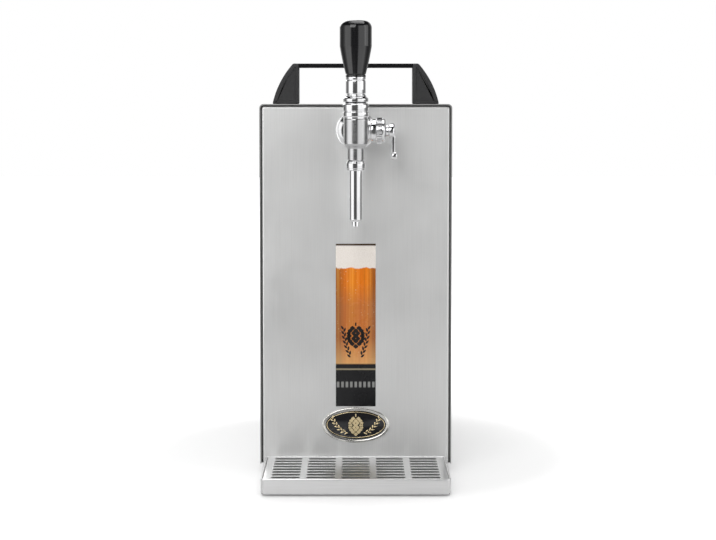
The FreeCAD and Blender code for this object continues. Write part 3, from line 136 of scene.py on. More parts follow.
def piece_from(name, vertices, faces):
    """Piece from points and faces, with equal points merged and all faces turned outward."""
    raw = bpy.data.meshes.new(name)
    raw.from_pydata([tuple(v) for v in vertices], [], faces)
    work = bmesh.new()
    work.from_mesh(raw)
    bpy.data.meshes.remove(raw)
    bmesh.ops.remove_doubles(work, verts=work.verts, dist=1e-7)
    bmesh.ops.recalc_face_normals(work, faces=work.faces)
    return piece_of(name, work)


def merged(name, pieces):
    """One piece from several, which are used up."""
    work = bmesh.new()
    for piece in pieces:
        work.from_mesh(piece.data)
        bpy.data.objects.remove(piece)
    return piece_of(name, work)


# %% The lathe


def softened(outline, radius, steps=3):
    """Closed outline whose corners, apart from those on the axis, become small arcs."""
    soft = []
    befores, afters = outline[-1:] + outline[:-1], outline[1:] + outline[:1]
    for before, corner, after in zip(befores, outline, afters):
        before, corner, after = Vector(before), Vector(corner), Vector(after)
        reach = min(radius, (before - corner).length / 2.2, (after - corner).length / 2.2)
        if corner.x < 1e-9 or reach < 1e-3:
            soft.append(tuple(corner))
            continue
        start = corner + (before - corner).normalized() * reach
        end = corner + (after - corner).normalized() * reach
        for i in range(steps + 1):
            t = i / steps
            point = start * (1 - t) ** 2 + corner * 2 * t * (1 - t) + end * t ** 2
            soft.append(tuple(point))
    return soft


def spun(name, outline, foot, axis=UP, radius=0.3, steps=72, stretch=1.0):
    """Turned piece: a closed (radius, height) outline in millimetres, spun about an axis."""
    outline = softened(outline, radius) if radius else outline
    turn = UP.rotation_difference(axis)
    rings, vertices = [], []
    for r, h in outline:
        count = 1 if r < 1e-6 else steps
        rings.append([len(vertices) + i for i in range(count)])
        for i in range(count):
            angle = 2 * math.pi * i / steps
            spot = Vector((r * math.cos(angle), r * math.sin(angle) * stretch, h))
            vertices.append((Vector(foot) + turn @ spot) * MM)
    faces = []
    for ring, other in zip(rings, rings[1:] + rings[:1]):
        if len(ring) == 1 and len(other) == 1:
            continue
        for i in range(steps):
            j = (i + 1) % steps
            corners = [ring[i % len(ring)], ring[j % len(ring)],
                       other[j % len(other)], other[i % len(other)]]
            faces.append(list(dict.fromkeys(corners)))
    return piece_from(name, vertices, faces)


def bar(name, radius, start, end, edge=0.3, steps=32):
    """Round bar between two points, with softened rims."""
    run = Vector(end) - Vector(start)
    outline = [(0, 0), (radius, 0), (radius, run.length), (0, run.length)]
    return spun(name, outline, start, run.normalized(), edge, steps)


# %% Blocks and bent outlines


def bevel(work, edges, width, segments):
    """Rounds edges of an edit mesh by a width in millimetres."""
    bmesh.ops.bevel(work, geom=edges, offset=width * MM, segments=segments, profile=0.5,
                    affect="EDGES", clamp_overlap=True)


def slab(name, low, high, edge=0.5, segments=3):
    """Block with rounded edges between two corners in millimetres."""
    work = bmesh.new()
    bmesh.ops.create_cube(work, size=1)
    low, high = Vector(low), Vector(high)
    for v in work.verts:
        v.co = Vector(low[i] + (high[i] - low[i]) * (v.co[i] + 0.5) for i in range(3)) * MM
    bevel(work, work.edges[:], edge, segments)
    bmesh.ops.recalc_face_normals(work, faces=work.faces)
    return piece_of(name, work)


def extruded(name, outline, push, edge=0.4, segments=3):
    """Flat outline of points in millimetres, pushed along a direction, with rounded edges."""
    work = bmesh.new()
    face = work.faces.new([work.verts.new(Vector(p) * MM) for p in outline])
    made = bmesh.ops.extrude_face_region(work, geom=[face])
    moved = [g for g in made["geom"] if isinstance(g, bmesh.types.BMVert)]
    bmesh.ops.translate(work, verts=moved, vec=Vector(push) * MM)
    bmesh.ops.recalc_face_normals(work, faces=work.faces)
    if edge:
        sharp = [e for e in work.edges if e.calc_face_angle(0) > math.radians(25)]
        bevel(work, sharp, edge, segments)
    return piece_of(name, work)


def cut_by(piece, cutter):
    """Takes one mesh out of another, exactly, and uses the cutter up."""
    modifier = piece.modifiers.new("Cut", "BOOLEAN")
    modifier.object = cutter
    modifier.solver = "EXACT"
    modifier.use_self = True
    plain(piece)
    bpy.data.objects.remove(cutter)
    rounded(piece.data)


def shown(piece):
    """The piece as its modifiers leave it."""
    bpy.context.view_layer.update()
    return piece.evaluated_get(bpy.context.evaluated_depsgraph_get())


def plain(piece):
    """Turns what the modifiers show into the piece's own mesh, and removes them."""
    mesh = bpy.data.meshes.new_from_object(shown(piece))
    piece.modifiers.clear()
    piece.data = mesh
    return piece


# %% [markdown]
# # Building blocks for node trees
# Shader trees and geometry trees are the same thing to a script: nodes, values and links. One
# function adds a node and fills its sockets, either with a value or with another node's output.

# %% Nodes in one line


def node(tree, kind, sockets=None, **settings):
    """Adds a node, sets its settings, and gives its inputs values or links."""
    made = tree.nodes.new(kind)
    for key, value in settings.items():
        setattr(made, key, value)
    for key, value in (sockets or {}).items():
        if isinstance(value, bpy.types.NodeSocket):
            tree.links.new(value, made.inputs[key])
        else:
            made.inputs[key].default_value = value
    return made


def maths(tree, operation, first, second=0.5, third=0.5):
    """One arithmetic step on values or sockets."""
    made = node(tree, "ShaderNodeMath", {0: first, 1: second, 2: third}, operation=operation)
    return made.outputs[0]


def group(name, kind, inputs, outputs):
    """Empty node group, and the sockets to read and to fill; kind is Shader or Geometry."""
    tree = bpy.data.node_groups.new(name, kind + "NodeTree")
    for words, direction in ((inputs, "INPUT"), (outputs, "OUTPUT")):
        for label, (socket, value) in words.items():
            made = tree.interface.new_socket(label, in_out=direction,
                                             socket_type="NodeSocket" + socket)
            if value is not None:
                made.default_value = value
    enter, leave = tree.nodes.new("NodeGroupInput"), tree.nodes.new("NodeGroupOutput")
    return tree, enter.outputs, leave.inputs


def vectors(tree, operation, first, second=(0, 0, 0), result="Vector"):
    """One arithmetic step on points or directions."""
    return node(tree, "ShaderNodeVectorMath", {0: first, 1: second},
                operation=operation).outputs[result]


def parts_of(tree, vector):
    """X, Y and Z of a point or direction, by name."""
    return node(tree, "ShaderNodeSeparateXYZ", {"Vector": vector}).outputs


def here(tree):
    """The shaded point, in the piece's own coordinates."""
    return node(tree, "ShaderNodeTexCoord").outputs["Object"]


def noise(tree, where, scale, detail=2.0, rough=0.5, bend=0.0):
    """Cloudy value over the surface."""
    return node(tree, "ShaderNodeTexNoise", {"Vector": where, "Scale": scale, "Detail": detail,
                                             "Roughness": rough, "Distortion": bend}).outputs["Fac"]


def mapped(tree, value, low, high, first=0.0, last=1.0):
    """Takes the range from low to high over to the range from first to last."""
    return node(tree, "ShaderNodeMapRange", {
        "Value": value, "From Min": low, "From Max": high, "To Min": first,
        "To Max": last}).outputs["Result"]


def blend(tree, factor, below, above, way="MIX"):
    """Mix of two colours, each given as a socket or as three numbers."""
    below, above = (colour if isinstance(colour, bpy.types.NodeSocket) else (*colour, 1)
                    for colour in (below, above))
    return node(tree, "ShaderNodeMix", {"Factor": factor, "A": below, "B": above},
                data_type="RGBA", blend_type=way).outputs["Result"]


def ramp_of(tree, value, stops, interpolation="LINEAR"):
    """Colour ramp over a value; a stop is a position and a colour."""
    made = node(tree, "ShaderNodeValToRGB", {"Fac": value})
    made.color_ramp.interpolation = interpolation
    elements = made.color_ramp.elements
    for element, (position, colour) in ((elements[0], stops[0]), (elements[-1], stops[-1])):
        element.position = position
        element.color = (*colour, 1)
    for position, colour in stops[1:-1]:
        elements.new(position).color = (*colour, 1)
    return made.outputs["Color"]


def greys(*stops):
    """Ramp stops from positions and grey levels."""
    return [(position, (level, level, level)) for position, level in stops]


def growing(name, inputs):
    """Empty geometry tree that takes a mesh, the given inputs and a material."""
    return group(name, "Geometry", {"Geometry": ("Geometry", None), **inputs,
                                    "Material": ("Material", None)},
                 {"Geometry": ("Geometry", None)})


def repeated(tree, points, shape, **more):
    """Instances of a shape at points, made real."""
    many = node(tree, "GeometryNodeInstanceOnPoints", {"Points": points, "Instance": shape, **more})
    return node(tree, "GeometryNodeRealizeInstances", {
        "Geometry": many.outputs["Instances"]}).outputs["Geometry"]


def painted(tree, geometry, enter, leave):
    """Ends a geometry tree: its result takes the material and goes out."""
    made = node(tree, "GeometryNodeSetMaterial", {
        "Geometry": geometry, "Material": enter["Material"]})
    tree.links.new(made.outputs["Geometry"], leave["Geometry"])


# %% [markdown]
# # Shared surface effects
# Three small groups serve nearly every finish. Brushing draws long fine scratches, handling
# gives a surface the uneven gloss of wiped metal or plastic, and stipple is the fine texture
# that a mould leaves. Each puts out plain values that a finish uses for tone, gloss or bump.

# %% Brushing, handling and stipple
brushing, enter, leave = group(
    "Brushing", "Shader",
    {"Stretch": ("Vector", (900, 900, 14)), "Contrast": ("Float", 0.1)},
    {"Tone": ("Float", None), "Height": ("Float", None)})
drawn = vectors(brushing, "MULTIPLY", here(brushing), enter["Stretch"])
scratches = noise(brushing, drawn, 1.0, 4.0, 0.65)
centred = maths(brushing, "SUBTRACT", scratches, 0.5)
tone = maths(brushing, "MULTIPLY_ADD", centred, enter["Contrast"], 1.0)
brushing.links.new(tone, leave["Tone"])
brushing.links.new(scratches, leave["Height"])

handling, enter, leave = group(
    "Handling", "Shader",
    {"Patch size": ("Float", 25.0), "Low": ("Float", 0.2), "High": ("Float", 0.3)},
    {"Gloss": ("Float", None), "Patches": ("Float", None)})
patches = noise(handling, here(handling), enter["Patch size"], 5.0, 0.6, 0.6)
gloss = mapped(handling, patches, 0.3, 0.7, enter["Low"], enter["High"])
handling.links.new(gloss, leave["Gloss"])
handling.links.new(patches, leave["Patches"])

stipple, enter, leave = group(
    "Stipple", "Shader", {"Grain": ("Float", 1800.0)},
    {"Height": ("Float", None), "Tone": ("Float", None)})
cells = node(stipple, "ShaderNodeTexVoronoi",
             {"Vector": here(stipple), "Scale": enter["Grain"]}, feature="SMOOTH_F1")
stipple.links.new(cells.outputs["Distance"], leave["Height"])
lighter = maths(stipple, "MULTIPLY_ADD", cells.outputs["Distance"], 0.5, 0.75)
stipple.links.new(lighter, leave["Tone"])
print("groups:", [tree.name for tree in bpy.data.node_groups])

# %% One way to lay down a finish
finishes = {}


def finish(slot, colour, metallic=0.0, rough=(0.3, 0.4), patch=25.0, **sockets):
    """Material for one slot: base colour, uneven gloss, and whatever else the shader is given."""
    material = bpy.data.materials.new(slot)
    material.use_nodes = True
    tree = material.node_tree
    shader = tree.nodes["Principled BSDF"]
    shader.inputs["Base Color"].default_value = (*colour, 1)
    shader.inputs["Metallic"].default_value = metallic
    worn = node(tree, "ShaderNodeGroup", {"Patch size": patch, "Low": rough[0], "High": rough[1]},
                node_tree=handling)
    tree.links.new(worn.outputs["Gloss"], shader.inputs["Roughness"])
    for key, value in sockets.items():
        shader.inputs[key.replace("_", " ")].default_value = value
    finishes[slot] = material
    return tree, shader


def tinted(tree, shader, colour, value):
    """Multiplies the base colour by a value that changes over the surface."""
    tree.links.new(blend(tree, 1.0, colour, value, "MULTIPLY"), shader.inputs["Base Color"])


def bumped(tree, shader, height, depth):
    """Feeds a height to the shader's normal, at a depth in metres."""
    bump = node(tree, "ShaderNodeBump", {"Height": height, "Distance": depth, "Strength": 1.0})
    tree.links.new(bump.outputs["Normal"], shader.inputs["Normal"])


def brushed(slot, colour, stretch, contrast, depth, rough, patch=9.0):
    """Brushed metal sheet."""
    tree, shader = finish(slot, colour, 1.0, rough, patch)
    lines = node(tree, "ShaderNodeGroup", {"Stretch": stretch, "Contrast": contrast},
                 node_tree=brushing)
    tinted(tree, shader, colour, lines.outputs["Tone"])
    bumped(tree, shader, lines.outputs["Height"], depth)
    return tree, lines.outputs["Tone"]


def stippled(slot, colour, grain, depth, rough, metallic=0.0):
    """Moulded or cast surface with a fine even texture."""
    tree, shader = finish(slot, colour, metallic, rough)
    grains = node(tree, "ShaderNodeGroup", {"Grain": grain}, node_tree=stipple)
    tinted(tree, shader, colour, grains.outputs["Tone"])
    bumped(tree, shader, grains.outputs["Height"], depth)
    return shader


# %% [markdown]
# # Finishes
# Stainless sheet is a grey metal with upright brushing. The tap is chromed brass: nearly
# white, very smooth, and all its drawing comes from what it mirrors. Black parts differ only
# by gloss and texture: a polished knob, stippled brackets, a powder-coated strap, dull rubber.

# %% Metals
steel = (0.84, 0.842, 0.835)
tree, tone = brushed("steel_sheet", steel, (1500, 1500, 16), 0.16, 0.00002, (0.40, 0.50))
depth_along = parts_of(tree, here(tree))["Y"]
cover_front, cover_rear = (corner.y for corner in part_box("cabinet_cover"))
# Painted shade: steel within 0.2 mm of the cover's front and rear edges is drawn at half its tone,
# for the dark line that those edges and the gaps beside them show.
cut_depth, cut_edge_shade = 0.2 * MM, -0.5
cut_front = maths(tree, "LESS_THAN", depth_along, cover_front + cut_depth)
cut_rear = maths(tree, "GREATER_THAN", depth_along, cover_rear - cut_depth)
cut_edge_shade_tone = maths(tree, "MULTIPLY_ADD", maths(tree, "MAXIMUM", cut_front, cut_rear),
                 cut_edge_shade, 1.0)
tree.links.new(maths(tree, "MULTIPLY", tone, cut_edge_shade_tone), tree.nodes["Mix"].inputs["B"])
brushed("tray_steel", (0.80, 0.80, 0.80), (22, 1400, 1400), 0.16, 0.00002, (0.28, 0.38), 14.0)
# Painted shade: this much darker steel goes on the drip tray's well, which lies in shadow under the
# grid.
brushed("Well_steel", (0.30, 0.30, 0.295), (300, 300, 300), 0.35, 0.00003, (0.45, 0.62), 40.0)
brushed("screw_steel", (0.62, 0.62, 0.61), (2500, 2500, 2500), 0.15, 0.00001, (0.22, 0.32), 300.0)
brushed("tap_inner_steel", (0.56, 0.56, 0.55), (2600, 300, 2600), 0.2, 0.00001, (0.25, 0.35), 80.0)
brushed("strap_zinc", (0.60, 0.61, 0.62), (500, 500, 500), 0.25, 0.00001, (0.35, 0.5), 60.0)
brushed("condenser_aluminium", (0.62, 0.63, 0.64), (200, 1200, 1200), 0.2, 0.00001, (0.38, 0.5))
stippled("block_aluminium", (0.62, 0.63, 0.64), 500.0, 0.00008, (0.45, 0.6), 1.0)
finish("tap_chrome", (0.76, 0.76, 0.77), 1.0, (0.04, 0.09), 60.0)
finish("Cast_chrome", (0.52, 0.52, 0.525), 1.0, (0.16, 0.26), 70.0)
copper = (0.72, 0.36, 0.22)
tree, shader = finish("pipe_copper", copper, 1.0, (0.25, 0.42), 90.0)
patches = tree.nodes["Group"].outputs["Patches"]
tinted(tree, shader, copper, maths(tree, "MULTIPLY_ADD", patches, 0.6, 0.7))
finish("badge_metal", (0.74, 0.73, 0.70), 1.0, (0.12, 0.22), 120.0)

# %% Plastics, rubber and paint
stippled("handle_plastic", (0.022, 0.022, 0.023), 1500.0, 0.00006, (0.5, 0.62))
finish("knob_black", (0.006, 0.006, 0.007), 0.0, (0.07, 0.12), 90.0, Coat_Weight=0.4,
       Coat_Roughness=0.04)
shader = stippled("handle_steel", (0.006, 0.006, 0.007), 2600.0, 0.00002, (0.42, 0.52))
shader.inputs["Specular IOR Level"].default_value = 0.1
stippled("foot_rubber", (0.018, 0.018, 0.018), 1100.0, 0.00004, (0.7, 0.85))
finish("pad_clear", (0.72, 0.73, 0.73), 0.0, (0.25, 0.4), 200.0, Transmission_Weight=0.4)
stippled("seal_rubber", (0.02, 0.02, 0.02), 1500.0, 0.00003, (0.6, 0.75))
# Painted shade: black foam for the mats that darken the view through the side slots.
stippled("Filter_foam", (0.016, 0.016, 0.016), 650.0, 0.0005, (0.85, 0.95))
stippled("Grey_foam", (0.10, 0.10, 0.10), 900.0, 0.00006, (0.75, 0.9))
stippled("cone_plastic", (0.75, 0.74, 0.70), 1500.0, 0.00002, (0.35, 0.45))
stippled("box_foam", (0.80, 0.80, 0.77), 420.0, 0.0002, (0.75, 0.9))
finish("beer_tube", (0.70, 0.73, 0.74), 0.0, (0.2, 0.3), 100.0, Transmission_Weight=0.35)
stippled("compressor_black", (0.014, 0.014, 0.014), 700.0, 0.00006, (0.28, 0.4))
stippled("shroud_plastic", (0.02, 0.02, 0.02), 900.0, 0.00005, (0.45, 0.6))
stippled("pump_plastic", (0.06, 0.062, 0.065), 900.0, 0.00005, (0.45, 0.6))
stippled("fitting_grey", (0.34, 0.35, 0.36), 1600.0, 0.00003, (0.38, 0.5))
stippled("collet_blue", (0.03, 0.10, 0.36), 1600.0, 0.00003, (0.3, 0.42))
stippled("control_black", (0.016, 0.016, 0.017), 1500.0, 0.00004, (0.35, 0.5))
finish("rocker_red", (0.42, 0.012, 0.008), 0.0, (0.12, 0.2), 120.0, Coat_Weight=0.3)
finish("Mark_white", (0.78, 0.78, 0.76), 0.0, (0.4, 0.5), 90.0)

# %% The kept solids take their finish
def coated(piece, *names):
    """Gives a piece these finishes in place of what it had."""
    piece.data.materials.clear()
    for name in names:
        piece.data.materials.append(finishes[name])


for subpart in frame["record"]["subparts"]:
    if subpart["material_slot"] in finishes:
        coated(frame["nodes"][subpart["node"]], subpart["material_slot"])
# Painted shade: the shelf takes the dark plastic finish in place of its steel. Its flange stands
# right behind some side slots, where the cabinet's inside lies in shadow.
for slot in frame["nodes"]["mid_shelf"].material_slots:
    slot.material = finishes["shroud_plastic"]
print(len(finishes), "finishes, and dark paint on the shelf, which stands behind some side slots")


def done(piece, body, slot, *nodes):
    """Gives a piece without a material its slot's one, hides the solids it stands for, puts it on
    its body, and prints its face count.
    """
    if slot in finishes and not piece.data.materials:
        piece.data.materials.append(finishes[slot])
    if nodes:
        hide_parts(*nodes)
    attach(piece, body)
    print(f"{piece.name}: {len(piece.data.polygons)} faces on {body}")


# %% [markdown]
# # The tap
# A compensator tap for draught beer. From top to bottom it has a black knob, a chromed ferrule
# that ends in a domed cap, a bonnet ring, the cast body with a boss to the cabinet and one to
# the side, and the long spout with its collar nut. All are turned but the body.

# %% Places along the tap's axes
tap_y = middle_mm("spout_tube")[1]
shank_z = middle_mm("tap_shank")[2]
pivot_rise = 12.0
pivot_z = shank_z + pivot_rise
panel_y = box_mm("tap_flange")[1].y
flow_y = middle_mm("compensator_barrel")[1]
knob_low, knob_high = box_mm("tap_knob")
print("tap axis at", round(tap_y, 2), "shank height", round(shank_z, 2))

# %% Knob
knob_foot, knob_belly, knob_crown = 8.9, knob_high.x, 7.6
belly_start, belly_end = 27.0, 43.2
knob_length = knob_high.z - knob_low.z
collar_height = 2.6
flare = []
for i in range(15):
    t = i / 14
    flare.append((knob_foot + (knob_belly - knob_foot) * t + 1.2 * t * (1 - t),
                  collar_height + (belly_start - collar_height) * t))
crown = []
for i in range(1, 13):
    angle = math.pi / 2 * i / 12
    crown.append((knob_crown + (knob_belly - knob_crown) * math.cos(angle),
                  belly_end + (knob_length - belly_end) * math.sin(angle)))
outline = [(3.1, 0), (knob_foot, 0), (knob_foot, 1.6), (knob_foot - 0.5, 2.1), *flare,
           (knob_belly, belly_end), *crown, (0, knob_length), (0, 14.0), (3.1, 14.0)]
done(spun("Knob", outline, (0, tap_y, knob_low.z), radius=0.25, steps=96), "tap_handle",
     "knob_black", "tap_knob")

# %% [markdown]
# The lever under the knob is one chromed piece: ferrule, waist groove and a cap that slides on
# the bonnet's dome. Below, out of sight, it has a drum in the body, and a tail whose roller
# pushes the valve's piston. All of it swings with the knob, so it is one piece.

# %% Lever
dome = 16.4
dome_gap = 0.4


def arc(radius, first, last, count=10):
    """Points of a circle about the pivot, between two angles from upright, in degrees."""
    angles = [math.radians(first + (last - first) * i / count) for i in range(count + 1)]
    return [(radius * math.sin(a), radius * math.cos(a)) for a in angles]


under = arc(dome + dome_gap, 9, 36)
outline = [(0, 2), (2.6, 2), *under, (11.1, under[-1][1] + 0.5), (11.1, 16.6), (10.6, 17.5),
           (9.6, 18.1), (9.2, 18.9), (9.2, 19.5), (8.4, 20.1), (8.4, 20.9), (8.75, 21.5),
           (8.75, 32.2), (8.35, 32.7), (8.35, 33.5), (8.75, 34.0), (8.75, 35.8), (3.0, 35.8),
           (3.0, 48.8), (0, 48.8)]
ferrule = spun("Ferrule", outline, (0, tap_y, pivot_z), radius=0.22, steps=96)
roller_z = pivot_z - 11.5
drum = bar("Drum", 6.0, (-5.2, tap_y, pivot_z), (5.2, tap_y, pivot_z), 0.4)
tail = bar("Tail", 1.6, (0, tap_y, roller_z), (0, tap_y, pivot_z), 0.2)
roller = bar("Roller", 3.2, (-2.4, tap_y, roller_z), (2.4, tap_y, roller_z), 0.3)
lever = merged("Tap_lever", [ferrule, drum, tail, roller])
done(lever, "tap_handle", "tap_chrome", "tap_lever")

# %% Bonnet
edge_angle = math.degrees(math.asin(11.8 / dome))
roof = arc(dome, edge_angle, 0)
outline = [(8.2, -1.0), (11.0, -1.0), (11.1, 0.4), (11.8, 1.2), (11.8, 4.6), (11.3, 5.0),
           (11.3, 5.6), (11.8, 6.0), (11.8, roof[0][1]), *roof[1:], (0, 9.5), (8.2, 9.5)]
bonnet = spun("Bonnet", outline, (0, tap_y, pivot_z), radius=0.2, steps=96)
lean_front, lean_back = math.tan(math.radians(25)), math.tan(math.radians(12))
slot_half, slot_play, slot_top = 3.0, 3.3, 18.0
cut_by(bonnet, extruded("Slot", [
    (-slot_half, tap_y - slot_play, pivot_z), (-slot_half, tap_y + slot_play, pivot_z),
    (-slot_half, tap_y + slot_play + slot_top * lean_back, pivot_z + slot_top),
    (-slot_half, tap_y - slot_play - slot_top * lean_front, pivot_z + slot_top)],
    (2 * slot_half, 0, 0), 0))
done(bonnet, "cabinet", "tap_chrome", "tap_bonnet")

# %% [markdown]
# The body is a casting: three round bars that meet at right angles, with soft fillets where
# they run into each other. Modelling such blends by hand is slow. Here the bars are merged by
# a voxel remesh, then smoothed, which rounds exactly the inner corners that a mould rounds.

# %% Body casting
neck_end = shank_z - 26.0
upright = spun("Upright", [
    (0, neck_end - 3.0), (7.0, neck_end - 3.0), (7.0, neck_end), (7.5, neck_end + 0.4),
    (7.5, 303.6), (8.2, 304.6), (10.2, 306.6), (11.0, 308.0), (11.0, 313.6), (11.0, 330.0),
    (0, 330.0)], (0, tap_y, 0), radius=0.6)
boss = bar("Boss", 10.5, (0, tap_y, shank_z), (0, panel_y - 22.0, shank_z), 0.5, 64)
side = spun("Side", [(0, 0), (10.5, 0), (10.5, 11.0), (0, 11.0)], (0, flow_y, shank_z), RIGHT,
            0.4, 64)
body = merged("Tap_body", [upright, boss, side])
remesh = body.modifiers.new("Cast", "REMESH")
remesh.mode = "VOXEL"
remesh.voxel_size = 0.42 * MM
remesh.use_smooth_shade = True
soften = body.modifiers.new("Soften", "SMOOTH")
soften.factor = 0.5
soften.iterations = 6
plain(body)
body.data.shade_smooth()
coated(body, "Cast_chrome")
done(body, "cabinet", "tap_chrome", "tap_body")

# %% [markdown]
# A union nut and a cap nut are gripped by hand, so their rims carry straight knurling: dozens
# of equal ribs. One rib is repeated round a circle by Geometry Nodes, with the rim's radius,
# the rib's size and the count as inputs, and the result is joined to the turned nut.

# %% Knurling by Geometry Nodes
knurling, enter, leave = growing("Knurling", {
    "Radius": ("Float", 0.014), "Length": ("Float", 0.01), "Rib": ("Float", 0.0006),
    "Count": ("Int", 48)})
circle = node(knurling, "GeometryNodeMeshCircle",
              {"Vertices": enter["Count"], "Radius": enter["Radius"]})
rib = node(knurling, "GeometryNodeMeshCylinder",
           {"Vertices": 8, "Radius": enter["Rib"], "Depth": enter["Length"]})
ribs = repeated(knurling, circle.outputs["Mesh"], rib.outputs["Mesh"])
painted(knurling, ribs, enter, leave)


def grown(name, tree, material, start=None, **sizes):
    """Runs a geometry tree on a piece, or on nothing, and returns the plain mesh it makes."""
    piece = start or linked(name, bpy.data.meshes.new(name))
    modifier = piece.modifiers.new("Grow", "NODES")
    modifier.node_group = tree
    keys = {item.name: item.identifier for item in tree.interface.items_tree
            if item.item_type == "SOCKET" and item.in_out == "INPUT"}
    modifier[keys["Material"]] = finishes[material]
    for label, value in sizes.items():
        modifier[keys[label.replace("_", " ")]] = value
    return plain(piece)


def knurled(name, radius, length, middle, axis, rib=0.55, count=48):
    """Ring of knurling ribs about an axis, in millimetres."""
    ribs = grown(name, knurling, "tap_chrome", Radius=(radius - rib * 0.55) * MM,
                 Length=length * MM, Rib=rib * MM, Count=count)
    turn = UP.rotation_difference(axis).to_matrix().to_4x4()
    ribs.data.transform(Matrix.Translation(Vector(middle) * MM) @ turn)
    ribs.data.materials.clear()
    return ribs


# %% Rosette and union nut
outline = [(9.6, 0), (18.4, 0), (18.4, 1.3), (17.9, 2.0), (17.2, 2.2), (16.4, 3.4), (14.2, 5.2),
           (13.0, 6.1), (12.5, 7.0), (9.6, 7.0)]
done(spun("Rosette", outline, (0, panel_y, shank_z), -BACK, 0.5, 96), "cabinet", "tap_chrome",
     "tap_flange")

outline = [(9.6, 0), (12.8, 0), (13.5, 0.8), (13.5, 2.2), (12.9, 2.7), (12.9, 11.2), (13.5, 11.7),
           (13.9, 12.6), (13.2, 14.0), (10.6, 14.0)]
nut = spun("Nut", outline, (0, panel_y - 13.0, shank_z), -BACK, 0.25, 96)
grip = knurled("Grip", 13.5, 8.4, (0, panel_y - 20.0, shank_z), BACK)
done(merged("Union_nut", [nut, grip]), "cabinet", "tap_chrome", "coupling_nut")

# %% Flow control on the right
outline = [(4.2, 0), (10.5, 0), (10.5, 1.0), (9.9, 1.5), (9.9, 2.3), (10.5, 2.8), (10.5, 7.0),
           (4.2, 7.0)]
done(spun("Barrel", outline, (11.0, flow_y, shank_z), RIGHT, 0.2, 96), "cabinet", "tap_chrome",
     "compensator_barrel")

outline = [(4.2, 0), (10.6, 0), (11.1, 0.6), (11.1, 6.0), (11.3, 6.6), (11.0, 7.6), (9.8, 8.6),
           (8.4, 9.0), (4.2, 9.0)]
cap = spun("Cap", outline, (18.0, flow_y, shank_z), RIGHT, 0.3, 96)
grip = knurled("Grip", 11.45, 4.6, (21.3, flow_y, shank_z), RIGHT, 0.5, 40)
done(merged("Flow_cap", [cap, grip]), "cabinet", "tap_chrome", "compensator_cap")

# %% Flow lever
hub_start = 27.15
outline = [(0, -22.15), (4.0, -22.15), (4.0, 0), (5.5, 0), (5.5, 2.4), (6.6, 2.9), (6.6, 6.4),
           (6.0, 7.5), (4.6, 8.2), (0, 8.4)]
hub = spun("Hub", outline, (hub_start, flow_y, shank_z), RIGHT, 0.35, 64)
arm_x, arm_end = 32.2, shank_z - 22.5
arm = extruded("Arm", [
    (arm_x, flow_y - 3.5, shank_z), (arm_x, flow_y + 3.5, shank_z),
    (arm_x, flow_y + 2.5, arm_end), (arm_x, flow_y - 2.5, arm_end)], (3.2, 0, 0), 0.8)
tip = spun("Tip", [(0, 0), (3.2, 0), (4.0, 0.9), (4.0, 4.2), (3.4, 5.1), (0, 5.4)],
           (32.0, flow_y, arm_end), RIGHT, 0.4, 48)
pin = bar("Pin", 1.2, (1.4, flow_y, shank_z + 2.5), (6.0, flow_y, shank_z + 2.5), 0.2)
done(merged("Flow_lever", [hub, arm, tip, pin]), "flow_lever", "tap_chrome", "compensator_lever")

# %% Spout and its collar nut
tube_top = box_mm("spout_tube")[1].z - 1.8
outline = [(4.3, 0), (5.4, 0), (5.9, 0.6), (5.9, 45.8), (5.75, 46.6), (5.2, 47.2), (3.9, 47.7),
           (3.65, 48.3), (3.25, 52.5), (3.0, 52.9), (2.3, 52.9), (2.3, 46.7), (4.3, 43.7)]
tube = spun("Tube", outline, (0, tap_y, tube_top), -UP, 0.15, 72)
outline = [(4.3, 0), (6.9, 0), (6.9, 1.8), (4.3, 1.8)]
collar = spun("Collar", outline, (0, tap_y, tube_top), UP, 0.2, 72)
done(merged("Spout", [tube, collar]), "cabinet", "tap_chrome", "spout_tube")

outline = [(6.0, 0), (7.6, 0), (8.4, 0.9), (8.4, 1.7), (8.8, 2.2), (8.8, 6.8), (8.4, 7.3),
           (8.4, 8.1), (7.8, 9.0), (7.1, 9.0), (7.1, 2.8), (6.0, 2.8)]
spout_nut = spun("Spout_nut", outline, (0, tap_y, box_mm("spout_nut")[0].z), UP, 0.2, 96)
done(spout_nut, "cabinet", "tap_chrome", "spout_nut")

# %% [markdown]
# # Handle
# Two moulded brackets with a flat powder-coated strap let into their tops. Their side is
# upright inside and bowed outside. A shallow field pressed into the front and rear of each
# keeps the moulding's walls even, as on real brackets, and the rounded rims do the rest.

# %% Brackets and strap
bracket_low, bracket_high = box_mm("handle_bracket_right")
handle_y = (bracket_low.y + bracket_high.y) / 2
bracket_width = bracket_high.y - bracket_low.y
inner_x, outer_x = bracket_low.x, bracket_high.x
crown_x, waist_x, waist_rise = 62.0, 76.0, 19.0
foot_z, top_z = bracket_low.z, bracket_high.z


def through(first, middle, last, count=14):
    """Points on the circle arc through three (x, z) points."""
    (x1, z1), (x2, z2), (x3, z3) = first, middle, last
    d = 2 * (x1 * (z2 - z3) + x2 * (z3 - z1) + x3 * (z1 - z2))
    s1, s2, s3 = x1 * x1 + z1 * z1, x2 * x2 + z2 * z2, x3 * x3 + z3 * z3
    cx = (s1 * (z2 - z3) + s2 * (z3 - z1) + s3 * (z1 - z2)) / d
    cz = (s1 * (x3 - x2) + s2 * (x1 - x3) + s3 * (x2 - x1)) / d
    start, end = math.atan2(z1 - cz, x1 - cx), math.atan2(z3 - cz, x3 - cx)
    radius = math.hypot(x1 - cx, z1 - cz)
    return [(cx + radius * math.cos(start + (end - start) * i / count),
             cz + radius * math.sin(start + (end - start) * i / count)) for i in range(count + 1)]


